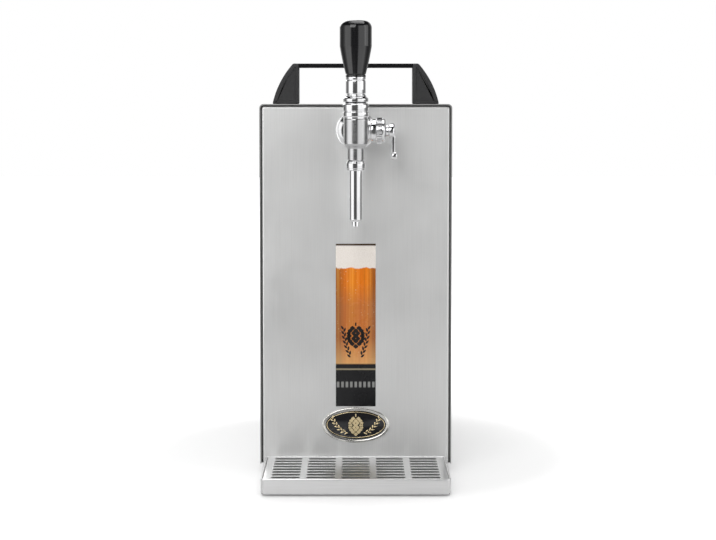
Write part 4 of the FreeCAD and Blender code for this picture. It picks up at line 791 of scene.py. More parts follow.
def bracket(name, side, node_name):
    """One moulded bracket; side is -1 on the left and +1 on the right."""
    bow = through((outer_x, foot_z), (waist_x, foot_z + waist_rise), (crown_x, top_z))
    outline = [(inner_x, foot_z), *bow, (inner_x, top_z)]
    points = [(side * x, handle_y - bracket_width / 2, z) for x, z in outline]
    piece = extruded(name, points, (0, bracket_width, 0), 1.3, 4)
    work = bmesh.new()
    work.from_mesh(piece.data)
    broad = [f for f in work.faces if abs(f.normal.y) > 0.999 and f.calc_area() > 3e-4]
    bmesh.ops.inset_region(work, faces=broad, thickness=2.6 * MM, depth=0)
    bmesh.ops.inset_region(work, faces=broad, thickness=0.5 * MM, depth=-0.7 * MM)
    work.to_mesh(piece.data)
    work.free()
    rounded(piece.data, 50)
    return done(piece, "cabinet", "handle_plastic", node_name)


bracket("Bracket_left", -1, "handle_bracket_left")
bracket("Bracket_right", 1, "handle_bracket_right")
strap_low, strap_high = box_mm("handle_bar")
strap = slab("Strap", (strap_low.x, strap_low.y, strap_high.z - 4.0), strap_high, 1.2, 4)
leg_half = 10.6
legs = [slab("Leg", (x, handle_y - leg_half, strap_low.z),
             (x + 2.0, handle_y + leg_half, strap_high.z - 2), 0.5)
        for x in (strap_low.x, strap_high.x - 2.0)]
done(merged("Carrying_strap", [strap, *legs]), "cabinet", "handle_steel", "handle_bar")

# %% [markdown]
# # Foam strips behind the panels' rims
# Front and rear panel sit a little inside the cover, and a thin strip of grey foam fills the
# gap as a seal, so that nothing rattles. Its grey is partly painted shade: it stands for the
# dark of the shadow gap between panel and cover. One outline makes both: up one side, over the
# top with round corners, and down the other, pushed back by the strip's width.

# %% Foam strips
panel_low, panel_high = box_mm("front_panel")
cover_inner, strip_foot = box_mm("base_pan")[1].x, panel_low.z + 1.0
cover_under = box_mm("cabinet_cover")[1].z - 1.0
strip_gap = cover_inner - panel_high.x - 0.05


def hood(half, top_height, radius, count=6):
    """Open outline up the left side, round the corners and down the right side."""
    points = [(-half, strip_foot)]
    for cx, start in ((-half + radius, 180), (half - radius, 90)):
        for i in range(count + 1):
            angle = math.radians(start - 90 * i / count)
            points.append((cx + radius * math.cos(angle),
                           top_height - radius + radius * math.sin(angle)))
    return [*points, (half, strip_foot)]


outer_side = hood(cover_inner - 0.02, cover_under - 0.02, 3.0)
inner_side = hood(cover_inner - strip_gap, cover_under - strip_gap, 2.0)
for name, start in (("Front_foam", panel_low.y + 2.4),
                    ("Rear_foam", box_mm("rear_panel")[1].y - 8.4)):
    outline = [(x, start, z) for x, z in [*outer_side, *inner_side[::-1]]]
    strip = extruded(name, outline, (0, 6.0, 0), 0.2, 2)
    # The strip is a real seal, and its grey is partly painted shade for the gap round the panels.
    coated(strip, "Grey_foam")
    done(strip, "cabinet", "seal_rubber")

# %% [markdown]
# Behind the side slots stands a mat of open black foam on each side, cut round the shelf that
# meets the cover. The mats are dark sheets for painted shade: they keep the pale parts inside
# from showing through the slots, where the cabinet's inside lies in shadow.

# %% Dark mats behind the side slots, for painted shade
shelf_low, shelf_high = box_mm("mid_shelf")
mat_thick, mat_gap, shelf_play = 3.0, 0.3, 0.4
mat_rear, mat_front, mat_foot, mat_top = 110.0, -36.0, 48.0, 148.0
for name, side in (("Filter_left", -1), ("Filter_right", 1)):
    near, away = sorted(side * (cover_inner - inset) for inset in (mat_gap, mat_gap + mat_thick))
    mats = [slab("Mat", (near, y0, z0), (away, y1, z1), 0.4, 2) for y0, y1, z0, z1 in (
        (mat_front, mat_rear, mat_foot, shelf_low.z - shelf_play),
        (shelf_high.y + shelf_play, mat_rear, shelf_low.z - 0.3, shelf_high.z + 0.3),
        (mat_front, mat_rear, shelf_high.z + shelf_play, mat_top))]
    mat = merged(name, mats)
    coated(mat, "Filter_foam")
    done(mat, "cabinet", "shroud_plastic")

# %% [markdown]
# # Drip tray and grid
# The tray is pressed from one sheet, so its corners are round and its rim is turned over in a
# small bead. A stack of rounded rectangles, each a step further in or down, makes such a
# pressing: the stack runs up the outside, over the bead and down the inside. The well's faces
# get a second steel, rougher and much darker: the darker colour is painted shade, for the well
# that lies in shadow under the grid.

# %% Pressings as stacks of rings


def rounded_ring(half_x, y0, y1, radius, z, count=8):
    """Points of a rounded rectangle at one height."""
    ring = []
    corners = ((half_x, y1, 0), (-half_x, y1, 1), (-half_x, y0, 2), (half_x, y0, 3))
    for x, y, quarter in corners:
        cx = x - math.copysign(radius, x)
        cy = y + (radius if y == y0 else -radius)
        for i in range(count + 1):
            angle = math.pi / 2 * (quarter + i / count)
            ring.append((cx + radius * math.cos(angle), cy + radius * math.sin(angle), z))
    return ring


def stacked(name, rings):
    """Skin over a stack of rings with equal point counts; the first and last are filled."""
    count = len(rings[0])
    vertices = [Vector(p) * MM for ring in rings for p in ring]
    faces = [list(range(count)), [(len(rings) - 1) * count + i for i in range(count)]]
    for level in range(len(rings) - 1):
        for i in range(count):
            j = (i + 1) % count
            faces.append([level * count + i, level * count + j,
                          (level + 1) * count + j, (level + 1) * count + i])
    return piece_from(name, vertices, faces)


def pressing(name, low, high, levels, corner):
    """Pressed sheet between two corners; levels are (inset, height) steps."""
    rings = [rounded_ring(high.x - inset, low.y + inset, high.y - inset,
                          max(corner - inset, 0.6), z) for inset, z in levels]
    return stacked(name, rings)


tray_low, tray_high = box_mm("drip_tray")
cabinet_front = box_mm("cabinet_cover")[0].y
tray_rear = cabinet_front - 0.3
top, foot = tray_high.z, tray_low.z
levels = [(2.2, foot), (1.2, foot + 0.15), (0.5, foot + 0.6), (0.15, foot + 1.4),
          (0.15, top - 2.2), (0, top - 1.9), (0, top - 0.7), (0.25, top - 0.2), (0.75, top),
          (1.25, top - 0.15), (1.5, top - 0.6), (1.5, top - 1.6), (1.2, top - 2.0),
          (1.2, foot + 2.6), (1.7, foot + 1.5), (2.8, foot + 1.0)]
tray = pressing("Tray", tray_low, Vector((tray_high.x, tray_rear, top)), levels, 4.0)
tongue_x, tongue_half, tongue_reach, tongue_foot, tongue_top = 35, 13, 22, 6.7, 7.7
tongues = [slab("Tongue", (x - tongue_half, tray_rear - 1.0, tongue_foot),
                (x + tongue_half, tray_rear + tongue_reach, tongue_top), 0.3)
           for x in (-tongue_x, tongue_x)]
seat_inset, seat_height = 7.0, box_mm("drip_grid")[0].z - foot - 0.9
seats = [spun("Seat", [(0, 0), (3.6, 0), (2.6, seat_height), (0, seat_height)],
              (side * (tray_high.x - seat_inset), y, foot + 0.9), steps=32)
         for side in (-1, 1) for y in (tray_low.y + seat_inset, tray_rear - seat_inset)]
tray = merged("Drip_tray", [tray, *tongues, *seats])
wall = 1.15
coated(tray, "tray_steel", "Well_steel")
# Faces inside the well take the darker steel, as painted shade under the grid.
for face in tray.data.polygons:
    spot = face.center / MM
    in_shaded_well = (abs(spot.x) < tray_high.x - wall and tray_low.y + wall < spot.y < tray_rear - wall
               and foot + 0.5 < spot.z < top - 1.8)
    face.material_index = int(in_shaded_well)
done(tray, "tray", "tray_steel", "drip_tray")

# %% [markdown]
# The grid is a flat plate with forty slots in five columns. Geometry Nodes draw one slot,
# repeat it on a grid of points and take all of them out of the plate at once. Columns, rows,
# pitch and slot size are the tree's inputs, so another grid is only other numbers.

# %% Slotting by Geometry Nodes
slotting, enter, leave = growing("Slotting", {
    "Columns": ("Int", 5), "Rows": ("Int", 8), "Span X": ("Float", 0.1), "Span Y": ("Float", 0.1),
    "Slot length": ("Float", 0.02), "Slot width": ("Float", 0.006), "Corner": ("Float", 0.002),
    "Middle": ("Vector", (0, 0, 0)), "Depth": ("Float", 0.004)})
outline = node(slotting, "GeometryNodeCurvePrimitiveQuadrilateral", {
    "Width": enter["Slot length"], "Height": enter["Slot width"]})
round_off = node(slotting, "GeometryNodeFilletCurve", {
    "Curve": outline.outputs["Curve"], "Count": 4, "Radius": enter["Corner"]}, mode="POLY")
flat = node(slotting, "GeometryNodeFillCurve", {"Curve": round_off.outputs["Curve"]}, mode="NGONS")
cutter = node(slotting, "GeometryNodeExtrudeMesh", {
    "Mesh": flat.outputs["Mesh"], "Offset Scale": enter["Depth"]})
lid = node(slotting, "GeometryNodeFlipFaces", {"Mesh": flat.outputs["Mesh"]})
closed = node(slotting, "GeometryNodeJoinGeometry")
for side in (cutter, lid):
    slotting.links.new(side.outputs["Mesh"], closed.inputs["Geometry"])
welded = node(slotting, "GeometryNodeMergeByDistance", {
    "Geometry": closed.outputs["Geometry"], "Distance": 0.00001})
places = node(slotting, "GeometryNodeMeshGrid", {
    "Size X": enter["Span X"], "Size Y": enter["Span Y"],
    "Vertices X": enter["Columns"], "Vertices Y": enter["Rows"]})
moved = node(slotting, "GeometryNodeTransform", {
    "Geometry": places.outputs["Mesh"], "Translation": enter["Middle"]})
slots = repeated(slotting, moved.outputs["Geometry"], welded.outputs["Geometry"])
holed = node(slotting, "GeometryNodeMeshBoolean", {
    "Mesh 1": enter["Geometry"], "Mesh 2": slots}, operation="DIFFERENCE", solver="EXACT")
painted(slotting, holed.outputs["Mesh"], enter, leave)

# %% Grid plate
grid_low, grid_high = box_mm("drip_grid")
levels = [(0.25, grid_low.z), (0, grid_low.z + 0.25), (0, grid_high.z - 0.3),
          (0.1, grid_high.z - 0.1), (0.35, grid_high.z)]
plate = pressing("Drip_grid", grid_low, grid_high, levels, 3.0)
columns, rows, pitch_x, pitch_y = 5, 8, 31.0, 10.8
cut_start = Vector((0, (grid_low.y + grid_high.y) / 2, grid_low.z - 1))
grid = grown("Drip_grid", slotting, "tray_steel", plate, Columns=columns, Rows=rows,
             Span_X=(columns - 1) * pitch_x * MM, Span_Y=(rows - 1) * pitch_y * MM,
             Slot_length=25.5 * MM, Slot_width=6.4 * MM, Corner=1.9 * MM, Depth=3 * MM,
             Middle=cut_start * MM)
rounded(grid.data)
done(grid, "grid", "tray_steel", "drip_grid")

# %% [markdown]
# # Feet, pads and screws
# The feet are turned rubber with a recess for the screw that holds them. All small screws are
# one pan head with a cross recess, repeated by Geometry Nodes at points that carry the
# direction each screw looks in, so one tree sets the side, floor and socket screws alike.

# %% Feet and pads


def corners(node, inset):
    """The four (x, y) places that lie a step inside the corners of a solid's box."""
    low, high = box_mm(node)
    return [(x, y) for x in (low.x + inset, high.x - inset)
            for y in (low.y + inset, high.y - inset)]


foot_radius, pad_radius = 11.0, 5.0
outline = [(0, 2.6), (3.6, 2.6), (3.6, 0), (9.5, 0), (9.9, 1.0), (10.4, 4.0), (foot_radius, 7.0),
           (foot_radius, 8.0), (0, 8.0)]
feet = [spun("Foot", outline, (x, y, 0), radius=0.4, steps=64)
        for x, y in corners("rubber_feet", foot_radius)]
done(merged("Feet", feet), "cabinet", "foot_rubber", "rubber_feet")

outline = [(0, 0), (4.4, 0), (pad_radius, 0.5), (pad_radius, 1.2), (0, 1.2)]
pads = [spun("Pad", outline, (x, y, 0), radius=0.15, steps=40)
        for x, y in corners("tray_pads", pad_radius)]
done(merged("Tray_pads", pads), "tray", "pad_clear", "tray_pads")

# %% Screwing by Geometry Nodes
screwing, enter, leave = growing("Screwing", {"Screw": ("Object", None)})
way = node(screwing, "GeometryNodeInputNamedAttribute", {"Name": "way"}, data_type="FLOAT_VECTOR")
aimed = node(screwing, "FunctionNodeAlignRotationToVector", {"Vector": way.outputs["Attribute"]},
             axis="Z")
shape = node(screwing, "GeometryNodeObjectInfo", {"Object": enter["Screw"]})
set_screws = repeated(screwing, enter["Geometry"], shape.outputs["Geometry"],
                      Rotation=aimed.outputs["Rotation"])
painted(screwing, set_screws, enter, leave)

# %% Cabinet screws
screw = spun("Pan_head", [(0, -4.9), (1.5, -4.9), (1.5, 0), (3.35, 0), (3.35, 0.35), (3.05, 0.8),
                          (2.2, 1.1), (0, 1.2)], (0, 0, 0), radius=0.12, steps=28)
for width, depth in ((3.2, 0.62), (0.62, 3.2)):
    cut_by(screw, slab("Recess", (-width / 2, -depth / 2, 0.45), (width / 2, depth / 2, 2.0), 0))
rear_face = box_mm("rear_panel")[1].y
cover_low, cover_high = box_mm("cabinet_cover")
inlet_low, inlet_high = box_mm("power_inlet")
inlet_x, _, inlet_z = middle_mm("power_inlet")
flange_inset, panel_inset, flange_z = 28.0, 6.0, 16.0
seats = [((side * cover_high.x, y, flange_z), RIGHT * side)
         for side in (-1, 1) for y in (cover_low.y + flange_inset, cover_high.y - flange_inset)]
seats += [((side * 55.0, y, cover_low.z), -UP)
          for side in (-1, 1) for y in (panel_y + panel_inset, rear_face - panel_inset)]
seats += [((inlet_x + side * 18.75, inlet_high.y, inlet_z), BACK) for side in (-1, 1)]
points = bpy.data.meshes.new("Screw_seats")
points.from_pydata([Vector(spot) * MM for spot, look in seats], [], [])
ways = points.attributes.new("way", "FLOAT_VECTOR", "POINT")
for value, (spot, look) in zip(ways.data, seats):
    value.vector = look
screws = grown("Cabinet_screws", screwing, "screw_steel", linked("Cabinet_screws", points),
               Screw=screw)
bpy.data.objects.remove(screw)
rounded(screws.data)
done(screws, "cabinet", "screw_steel", "cabinet_screws")

# %% [markdown]
# # Rear services
# Behind sit two push-in tube fittings with blue release collets, a numbered cooling dial, two
# rocker switches and the mains socket. Each follows what such parts are in any workshop drawer.

# %% Push-in fittings and collets
for words, node_name, body_name, tube_radius in (
        ("Beer_fitting", "beer_inlet", "beer_collet", 4.85),
        ("Air_fitting", "air_outlet", "air_collet", 4.1)):
    x, _, z = middle_mm(node_name)
    middle = (x, rear_face, z)
    bore = tube_radius + 1.45
    outline = [(3.2, -15.0), (8.5, -15.0), (8.5, 0), (12.5, 0), (12.5, 2.4), (11.9, 3.0),
               (9.9, 3.0), (9.5, 3.5), (9.5, 6.0), (9.0, 6.5), (9.0, 7.5), (9.5, 8.0), (9.5, 16.2),
               (8.6, 17.15), (bore, 17.15), (bore, 4.15), (3.2, 4.15)]
    done(spun(words, outline, middle, BACK, 0.25, 80), "cabinet", "fitting_grey", node_name)
    outline = [(tube_radius, 5.8), (tube_radius + 1.3, 5.8), (tube_radius + 1.3, 18.8),
               (7.3, 18.8), (7.6, 19.3), (7.6, 20.0), (7.1, 20.4), (tube_radius + 0.5, 20.4),
               (tube_radius, 19.8)]
    done(spun(words.replace("fitting", "collet"), outline, middle, BACK, 0.15, 72), body_name,
         "collet_blue", node_name + "_collet")

# %% Figures that read from behind


def rear_figure(characters, height, spot, turn=0.0):
    """Flat figures that read from behind, centred on a point; turn is clockwise, in degrees."""
    curve = bpy.data.curves.new("Figure", "FONT")
    curve.body = characters
    curve.size = height * 1.4 * MM
    curve.align_x, curve.align_y = "CENTER", "CENTER"
    curve.extrude = 0.04 * MM
    figure = linked("Figure", curve)
    plain_mesh = bpy.data.meshes.new_from_object(shown(figure))
    bpy.data.objects.remove(figure)
    facing = Matrix(((-1, 0, 0), (0, 0, 1), (0, 1, 0))).to_4x4()
    spin = Matrix.Rotation(math.radians(-turn), 4, "Z")
    plain_mesh.transform(Matrix.Translation(Vector(spot) * MM) @ facing @ spin)
    return linked("Figure", plain_mesh)


# %% Cooling dial
dial_low, dial_high = box_mm("thermostat_knob")
dial_x, _, dial_z = middle_mm("thermostat_knob")
outline = [(3.2, 0), (15.5, 0), (15.5, 2.2), (15.0, 2.9), (11.2, 3.2), (10.2, 4.2), (9.4, 9.0),
           (8.6, 9.6), (0, 9.6), (0, 6.6), (3.2, 6.6)]
skirt = spun("Skirt", outline, (dial_x, dial_low.y, dial_z), BACK, 0.3, 96)
rim = knurled("Rim", 15.95, 2.3, (dial_x, dial_low.y + 1.3, dial_z), BACK, 0.5, 60)
grip = slab("Grip", (dial_x - 2.5, dial_low.y + 2.0, dial_z - 14.5),
            (dial_x + 2.5, dial_high.y, dial_z + 14.5), 1.1, 3)
done(merged("Cooling_dial", [skirt, rim, grip]), "cooling_dial", "control_black", "thermostat_knob")

figures = []
number_ring, number_step = 13.3, 36.0
for number in (1, 2, 3, 5, 6, 7):
    angle = (number - 4) * number_step
    place = math.radians(angle)
    spot = (dial_x - number_ring * math.sin(place), dial_low.y + 3.02,
            dial_z + number_ring * math.cos(place))
    figures.append(rear_figure(str(number), 2.3, spot, angle))
pointer = slab("Pointer", (dial_x - 0.5, dial_high.y - 0.1, dial_z + 4.5),
               (dial_x + 0.5, dial_high.y + 0.03, dial_z + 13.2), 0)
dial_marks = merged("Dial_marks", [*figures, pointer])
coated(dial_marks, "Mark_white")
done(dial_marks, "cooling_dial", "control_black")

# %% Rocker switches
frame_rise, key_depth, key_tilt = 2.0, 2.5, 12
for words in ("Cooling", "Pump"):
    name = words.lower()
    low, high = box_mm(name + "_switch")
    x, _, z = middle_mm(name + "_switch")
    outer = slab("Frame", (low.x, rear_face, low.z), high, 0.7, 3)
    inner = slab("Inner", (low.x + 2, low.y, low.z + 2), (high.x - 2, rear_face + 0.8, high.z - 2),
                 0.2)
    housing = merged(words + "_switch_frame", [outer, inner])
    cut_by(housing, slab("Pocket", (x - 5.4, rear_face - 10, z - 8.4),
                         (x + 5.4, high.y + 4, z + 8.4), 0.5))
    done(housing, "cabinet", "control_black", name + "_switch")
    pivot = Vector((x, rear_face + frame_rise - key_depth, z))
    outline = [(-2.5, -4.7), (-2.5, 4.7), (3.0, 7.3), (2.75, 5.0), (2.5, 2.5), (2.4, 0),
               (2.5, -2.5), (2.75, -5.0), (3.0, -7.3)]
    key = extruded("Key", [pivot + Vector((-4.9, y, up)) for y, up in outline], (9.8, 0, 0), 0.45)
    pins = bar("Pins", 1.1, (x - 6.4, pivot.y, z), (x + 6.4, pivot.y, z), 0.15, 20)
    key = merged(words + "_rocker", [key, pins])
    on_mark = slab("On", (x - 0.3, pivot.y + 2.7, z + 2.9), (x + 0.3, pivot.y + 2.86, z + 5.7), 0)
    off_mark = spun("Off", [(1.0, 0), (1.55, 0), (1.55, 0.16), (1.0, 0.16)],
                    (x, pivot.y + 2.7, z - 4.3), BACK, 0, 32)
    marks = merged(words + "_rocker_marks", [on_mark, off_mark])
    tip_back = (Matrix.Translation(pivot * MM) @ Matrix.Rotation(math.radians(-key_tilt), 4, "X")
                @ Matrix.Translation(-pivot * MM))
    for piece in (key, marks):
        piece.data.transform(tip_back)
    coated(marks, "Mark_white")
    done(key, name + "_key", "rocker_red", name + "_rocker")
    done(marks, name + "_key", "rocker_red")

# %% Mains socket
socket = slab("Socket", (inlet_low.x, rear_face, inlet_low.z),
              (inlet_high.x, inlet_high.y, inlet_high.z), 0.9, 3)
sleeve = slab("Sleeve", (inlet_x - 13.4, inlet_low.y, inlet_z - 9.9),
              (inlet_x + 13.4, rear_face + 1, inlet_z + 9.9), 0.6)
socket = merged("Mains_socket", [socket, sleeve])
well_x, well_z, chamfer, well_depth = 10.4, 6.9, 4.2, 18.0
well = [(-well_x, -well_z), (well_x, -well_z), (well_x, well_z - chamfer),
        (well_x - chamfer, well_z), (-well_x + chamfer, well_z), (-well_x, well_z - chamfer)]
cut_by(socket, extruded("Well", [(inlet_x + x, inlet_high.y - well_depth, inlet_z + z)
                                 for x, z in well], (0, well_depth + 2, 0), 0.3))
done(socket, "cabinet", "control_black", "power_inlet")
pins = []
for i in (-1, 0, 1):
    x, y, z = inlet_x + i * 7.0, inlet_high.y - well_depth, inlet_z + 4.0 * (0.5 - abs(i))
    pins.append(slab("Pin", (x - 1.0, y - 0.5, z - 2.0), (x + 1.0, y + 12.0, z + 2.0), 0.4))
done(merged("Mains_pins", pins), "cabinet", "screw_steel")

# %% [markdown]
# # Behind the grille
# The rear slots show the condenser's fins and, past them, the black pot of the compressor.
# Fins are one thin plate repeated by Geometry Nodes along a line, with pitch and count as
# inputs.

# %% Fins by Geometry Nodes
finning, enter, leave = growing("Finning", {
    "Size": ("Vector", (0.0003, 0.02, 0.1)), "Pitch": ("Float", 0.003), "Count": ("Int", 40),
    "Start": ("Vector", (0, 0, 0))})
fin = node(finning, "GeometryNodeMeshCube", {"Size": enter["Size"]})
step = node(finning, "ShaderNodeCombineXYZ", {"X": enter["Pitch"]})
row = node(finning, "GeometryNodeMeshLine", {
    "Count": enter["Count"], "Start Location": enter["Start"],
    "Offset": step.outputs["Vector"]})
painted(finning, repeated(finning, row.outputs["Mesh"], fin.outputs["Mesh"]), enter, leave)

# %% Condenser
low, high = box_mm("condenser")
_, fin_y, fin_z = middle_mm("condenser")
half, fin_count, fin_pitch = high.x, 43, 3.0
depth, tall = high.y - low.y, high.z - low.z
fins = grown("Fins", finning, "condenser_aluminium",
             Size=Vector((0.3, depth - 2, tall)) * MM, Pitch=fin_pitch * MM, Count=fin_count,
             Start=Vector((-fin_pitch * (fin_count - 1) / 2, fin_y, fin_z)) * MM)
fins.data.materials.clear()
plates = [slab("Plate", (x - 1.0, low.y, low.z), (x + 1.0, high.y, high.z), 0.3)
          for x in (-half + 1.0, half - 1.0)]
tubes = [slab("Tube", (-half + 1, low.y + 2, low.z + share * (tall - 4)),
              (half - 1, high.y - 2, low.z + share * (tall - 4) + 4.0), 1.6)
         for share in (0, 0.5, 1)]
stub_z = low.z + tall / 4
stub = bar("Stub", 4.5, (low.x, fin_y, stub_z), (-half + 1, fin_y, stub_z), 0.3)
done(merged("Condenser", [fins, *plates, *tubes, stub]), "cabinet", "condenser_aluminium",
     "condenser")

# %% Compressor
low, high = box_mm("compressor")
pot_y, plate_top = (low.y + high.y) / 2, low.z + 3.0
hole_x, hole_y, plate_x, plate_y, pot_height = 48, 31, 59, 42, 104.0
holes = [(x, y) for x in (-hole_x, hole_x) for y in (pot_y - hole_y, pot_y + hole_y)]
plate = slab("Plate", (-plate_x, pot_y - plate_y, low.z), (plate_x, pot_y + plate_y, plate_top), 1.2)
for x, y in holes:
    cut_by(plate, bar("Hole", 4.1, (x, y, low.z - 2), (x, y, plate_top + 2), 0, 24))
outline = [(0, 0), (38.0, 0), (41.5, 2.0), (43.6, 6.5), (44.2, 12.0), (44.2, 50.0), (45.0, 51.0),
           (45.0, 54.5), (44.2, 55.5), (44.2, 80.0), (42.8, 88.0), (38.5, 95.0), (31.0, 100.5),
           (20.0, 103.4), (0, pot_height)]
pot = spun("Pot", outline, (0, pot_y, plate_top), UP, 1.6, 96)
suction = bar("Suction", 4.5, (22.5, pot_y, plate_top + 80), (22.5, pot_y, high.z), 0.4)
outlet_z = plate_top + pot_height / 3
discharge = bar("Discharge", 4.5, (0, pot_y, outlet_z), (-57.0, pot_y, outlet_z), 0.4)
done(merged("Compressor", [pot, plate, suction, discharge]), "cabinet", "compressor_black",
     "compressor")
outline = [(0, 0), (8.0, 0), (8.0, 4.0), (6.4, 5.4), (6.4, 7.0), (8.0, 8.4), (8.0, 12.0),
           (4.0, 12.0), (4.0, 15.0), (0, 15.0)]
grommets = [spun("Grommet", outline, (x, y, low.z - 12.0), UP, 0.5, 40) for x, y in holes]
done(merged("Grommets", grommets), "cabinet", "foot_rubber", "compressor_grommets")

# %% [markdown]
# # Front label
# A tall strip of printed vinyl shows a glass of beer: pale froth on top, amber with rising
# bubbles below, and a dark band at the foot. The print is drawn by its material, from the
# strip's own width and height, so it stays sharp at any size and needs no picture file.

# %% Printed strip
label_low, label_high = box_mm("front_label")
strip = slab("Label_strip", label_low, label_high, 0.12, 2)
tree, shader = finish("label_print", (0.8, 0.8, 0.8), 0.0, (0.22, 0.3), 60.0,
                      Specular_IOR_Level=0.25)
where = here(tree)
size = (label_high - label_low) * MM
start = label_low * MM
onto = node(tree, "ShaderNodeMapping", {
    "Vector": where, "Location": (-start.x / size.x, 0, -start.z / size.z),
    "Scale": (1 / size.x, 1, 1 / size.z)})
spot = parts_of(tree, onto.outputs["Vector"])
across, height = spot["X"], spot["Z"]


def over(below, above, mask):
    """One colour laid over another where a mask is 1."""
    return blend(tree, mask, below, above)


def step_at(value, edge, softness=0.004):
    """0 below an edge and 1 above it, with a soft line between."""
    return mapped(tree, value, edge - softness, edge + softness)


def between(low, high):
    """1 between two heights on the strip, and 0 outside them."""
    return maths(tree, "MULTIPLY", step_at(height, low),
                 maths(tree, "SUBTRACT", 1.0, step_at(height, high)))


def cells_of(scale):
    """Distance to the middle of the nearest cell."""
    return node(tree, "ShaderNodeTexVoronoi", {"Vector": where, "Scale": scale}).outputs["Distance"]


streaks = noise(tree, vectors(tree, "MULTIPLY", where, (330, 1, 7)), 1.0, 3.0, 0.6)
glass = ramp_of(tree, across, [
    (0.0, (0.10, 0.030, 0.006)), (0.09, (0.30, 0.085, 0.010)), (0.24, (0.80, 0.170, 0.006)),
    (0.42, (1.0, 0.30, 0.012)), (0.58, (0.90, 0.19, 0.006)), (0.78, (0.96, 0.25, 0.012)),
    (0.91, (0.34, 0.100, 0.012)), (1.0, (0.12, 0.034, 0.006))])
amber = over(glass, ramp_of(tree, streaks, [
    (0.30, (0.34, 0.09, 0.008)), (0.50, (0.74, 0.20, 0.010)), (0.68, (1.0, 0.48, 0.09))]), 0.45)
bubbles = mapped(tree, cells_of(420.0), 0.16, 0.24, 0.55, 0.0)
rare = noise(tree, where, 190.0)
bubbles = maths(tree, "MULTIPLY", bubbles, step_at(rare, 0.56, 0.04))
amber = over(amber, (1.0, 0.78, 0.42), bubbles)
murk = mapped(tree, height, 0.62, 0.76, 0.45, 0.0)
amber = over(amber, (0.32, 0.15, 0.08), murk)
glow = mapped(tree, height, 0.26, 0.42, 0.42, 0.0)
amber = over(amber, (1.0, 0.66, 0.28), glow)
froth = ramp_of(tree, cells_of(1500.0), [(0.0, (0.97, 0.92, 0.87)), (0.8, (0.82, 0.75, 0.68))])
froth_edge = maths(tree, "MULTIPLY_ADD", noise(tree, where, 130.0), 0.035, 0.835)
art = over(amber, froth, step_at(maths(tree, "SUBTRACT", height, froth_edge), 0.0, 0.003))
art = over((0.009, 0.009, 0.010), art, step_at(height, 0.262))
art = over(art, (0.06, 0.035, 0.02), step_at(height, 0.988))
art = over(art, (0.42, 0.36, 0.24), between(0.226, 0.233))
beads = 9
along_band = maths(tree, "MULTIPLY_ADD", across, 2 * math.pi * beads, -math.pi / 2)
dotted = maths(tree, "MULTIPLY", between(0.118, 0.152),
               step_at(maths(tree, "SINE", along_band), -0.2, 0.3))
tree.links.new(over(art, (0.30, 0.30, 0.29), dotted), shader.inputs["Base Color"])
done(strip, "cabinet", "label_print", "front_label")

# %% [markdown]
# # Barley and hop, grown from rules
# Both the strip and the badge carry plain brewer's ornament. An ear of barley is one grain
# repeated along a bent stem, left and right in turn, and a hop cone is rows of the same
# leaf. Geometry Nodes repeat the grain, and the stem is any line of points.

# %% Ear of barley by Geometry Nodes
ear_tree, enter, leave = growing("Ear", {
    "Grain": ("Object", None), "Count": ("Int", 14), "Tilt": ("Float", 0.55),
    "Size": ("Float", 1.0)})
line = node(ear_tree, "GeometryNodeMeshToCurve", {"Mesh": enter["Geometry"]})
even = node(ear_tree, "GeometryNodeResampleCurve", {"Curve": line.outputs["Curve"],
                                                    "Count": enter["Count"]})
tangent = node(ear_tree, "GeometryNodeInputTangent").outputs["Tangent"]
along = parts_of(ear_tree, tangent)
lean = maths(ear_tree, "ARCTAN2", along["Z"], along["X"])
index = node(ear_tree, "GeometryNodeInputIndex").outputs["Index"]
sides = maths(ear_tree, "MULTIPLY_ADD", maths(ear_tree, "MODULO", index, 2.0), 2.0, -1.0)
tilted = maths(ear_tree, "MULTIPLY_ADD", sides, enter["Tilt"], lean)
angles = node(ear_tree, "ShaderNodeCombineXYZ", {
    "Y": maths(ear_tree, "MULTIPLY", tilted, -1.0)}).outputs["Vector"]
shape = node(ear_tree, "GeometryNodeObjectInfo", {"Object": enter["Grain"]})
grains = repeated(ear_tree, even.outputs["Curve"], shape.outputs["Geometry"], Rotation=angles,
                  Scale=enter["Size"])
painted(ear_tree, grains, enter, leave)


def grain_shape(length, width, rise):
    """One barley grain lying in the XZ plane from the origin along +X, domed towards -Y."""
    outline = [(0, 0)]
    for i in range(1, 8):
        t = i / 8
        outline.append((width * math.sin(math.pi * t ** 0.8) ** 0.8, length * t))
    outline.append((0, length))
    piece = spun("Grain", outline, (0, 0, 0), RIGHT, 0, 10)
    piece.data.transform(Matrix.Diagonal((1, rise / width, 1, 1)))
    return piece


def barley(points, grain, count, tilt, material):
    """Ear along a line of (x, y, z) points in millimetres."""
    stem = bpy.data.meshes.new("Ear")
    stem.from_pydata([Vector(p) * MM for p in points],
                     [(i, i + 1) for i in range(len(points) - 1)], [])
    return grown("Ear", ear_tree, material, linked("Ear", stem), Grain=grain, Count=count,
                 Tilt=tilt)


# %% Hop cone


def leaf(top, half_width, length, thickness):
    """Pointed scale that hangs from its top point and faces -Y."""
    x, y, z = top
    steps = 8
    right = [(x + half_width * math.sin(math.pi * i / steps) ** 1.2, y, z - length * i / steps)
             for i in range(steps + 1)]
    left = [(2 * x - px, py, pz) for px, py, pz in right[-2:0:-1]]
    return extruded("Leaf", right + left, (0, -thickness, 0), thickness / 3, 1)


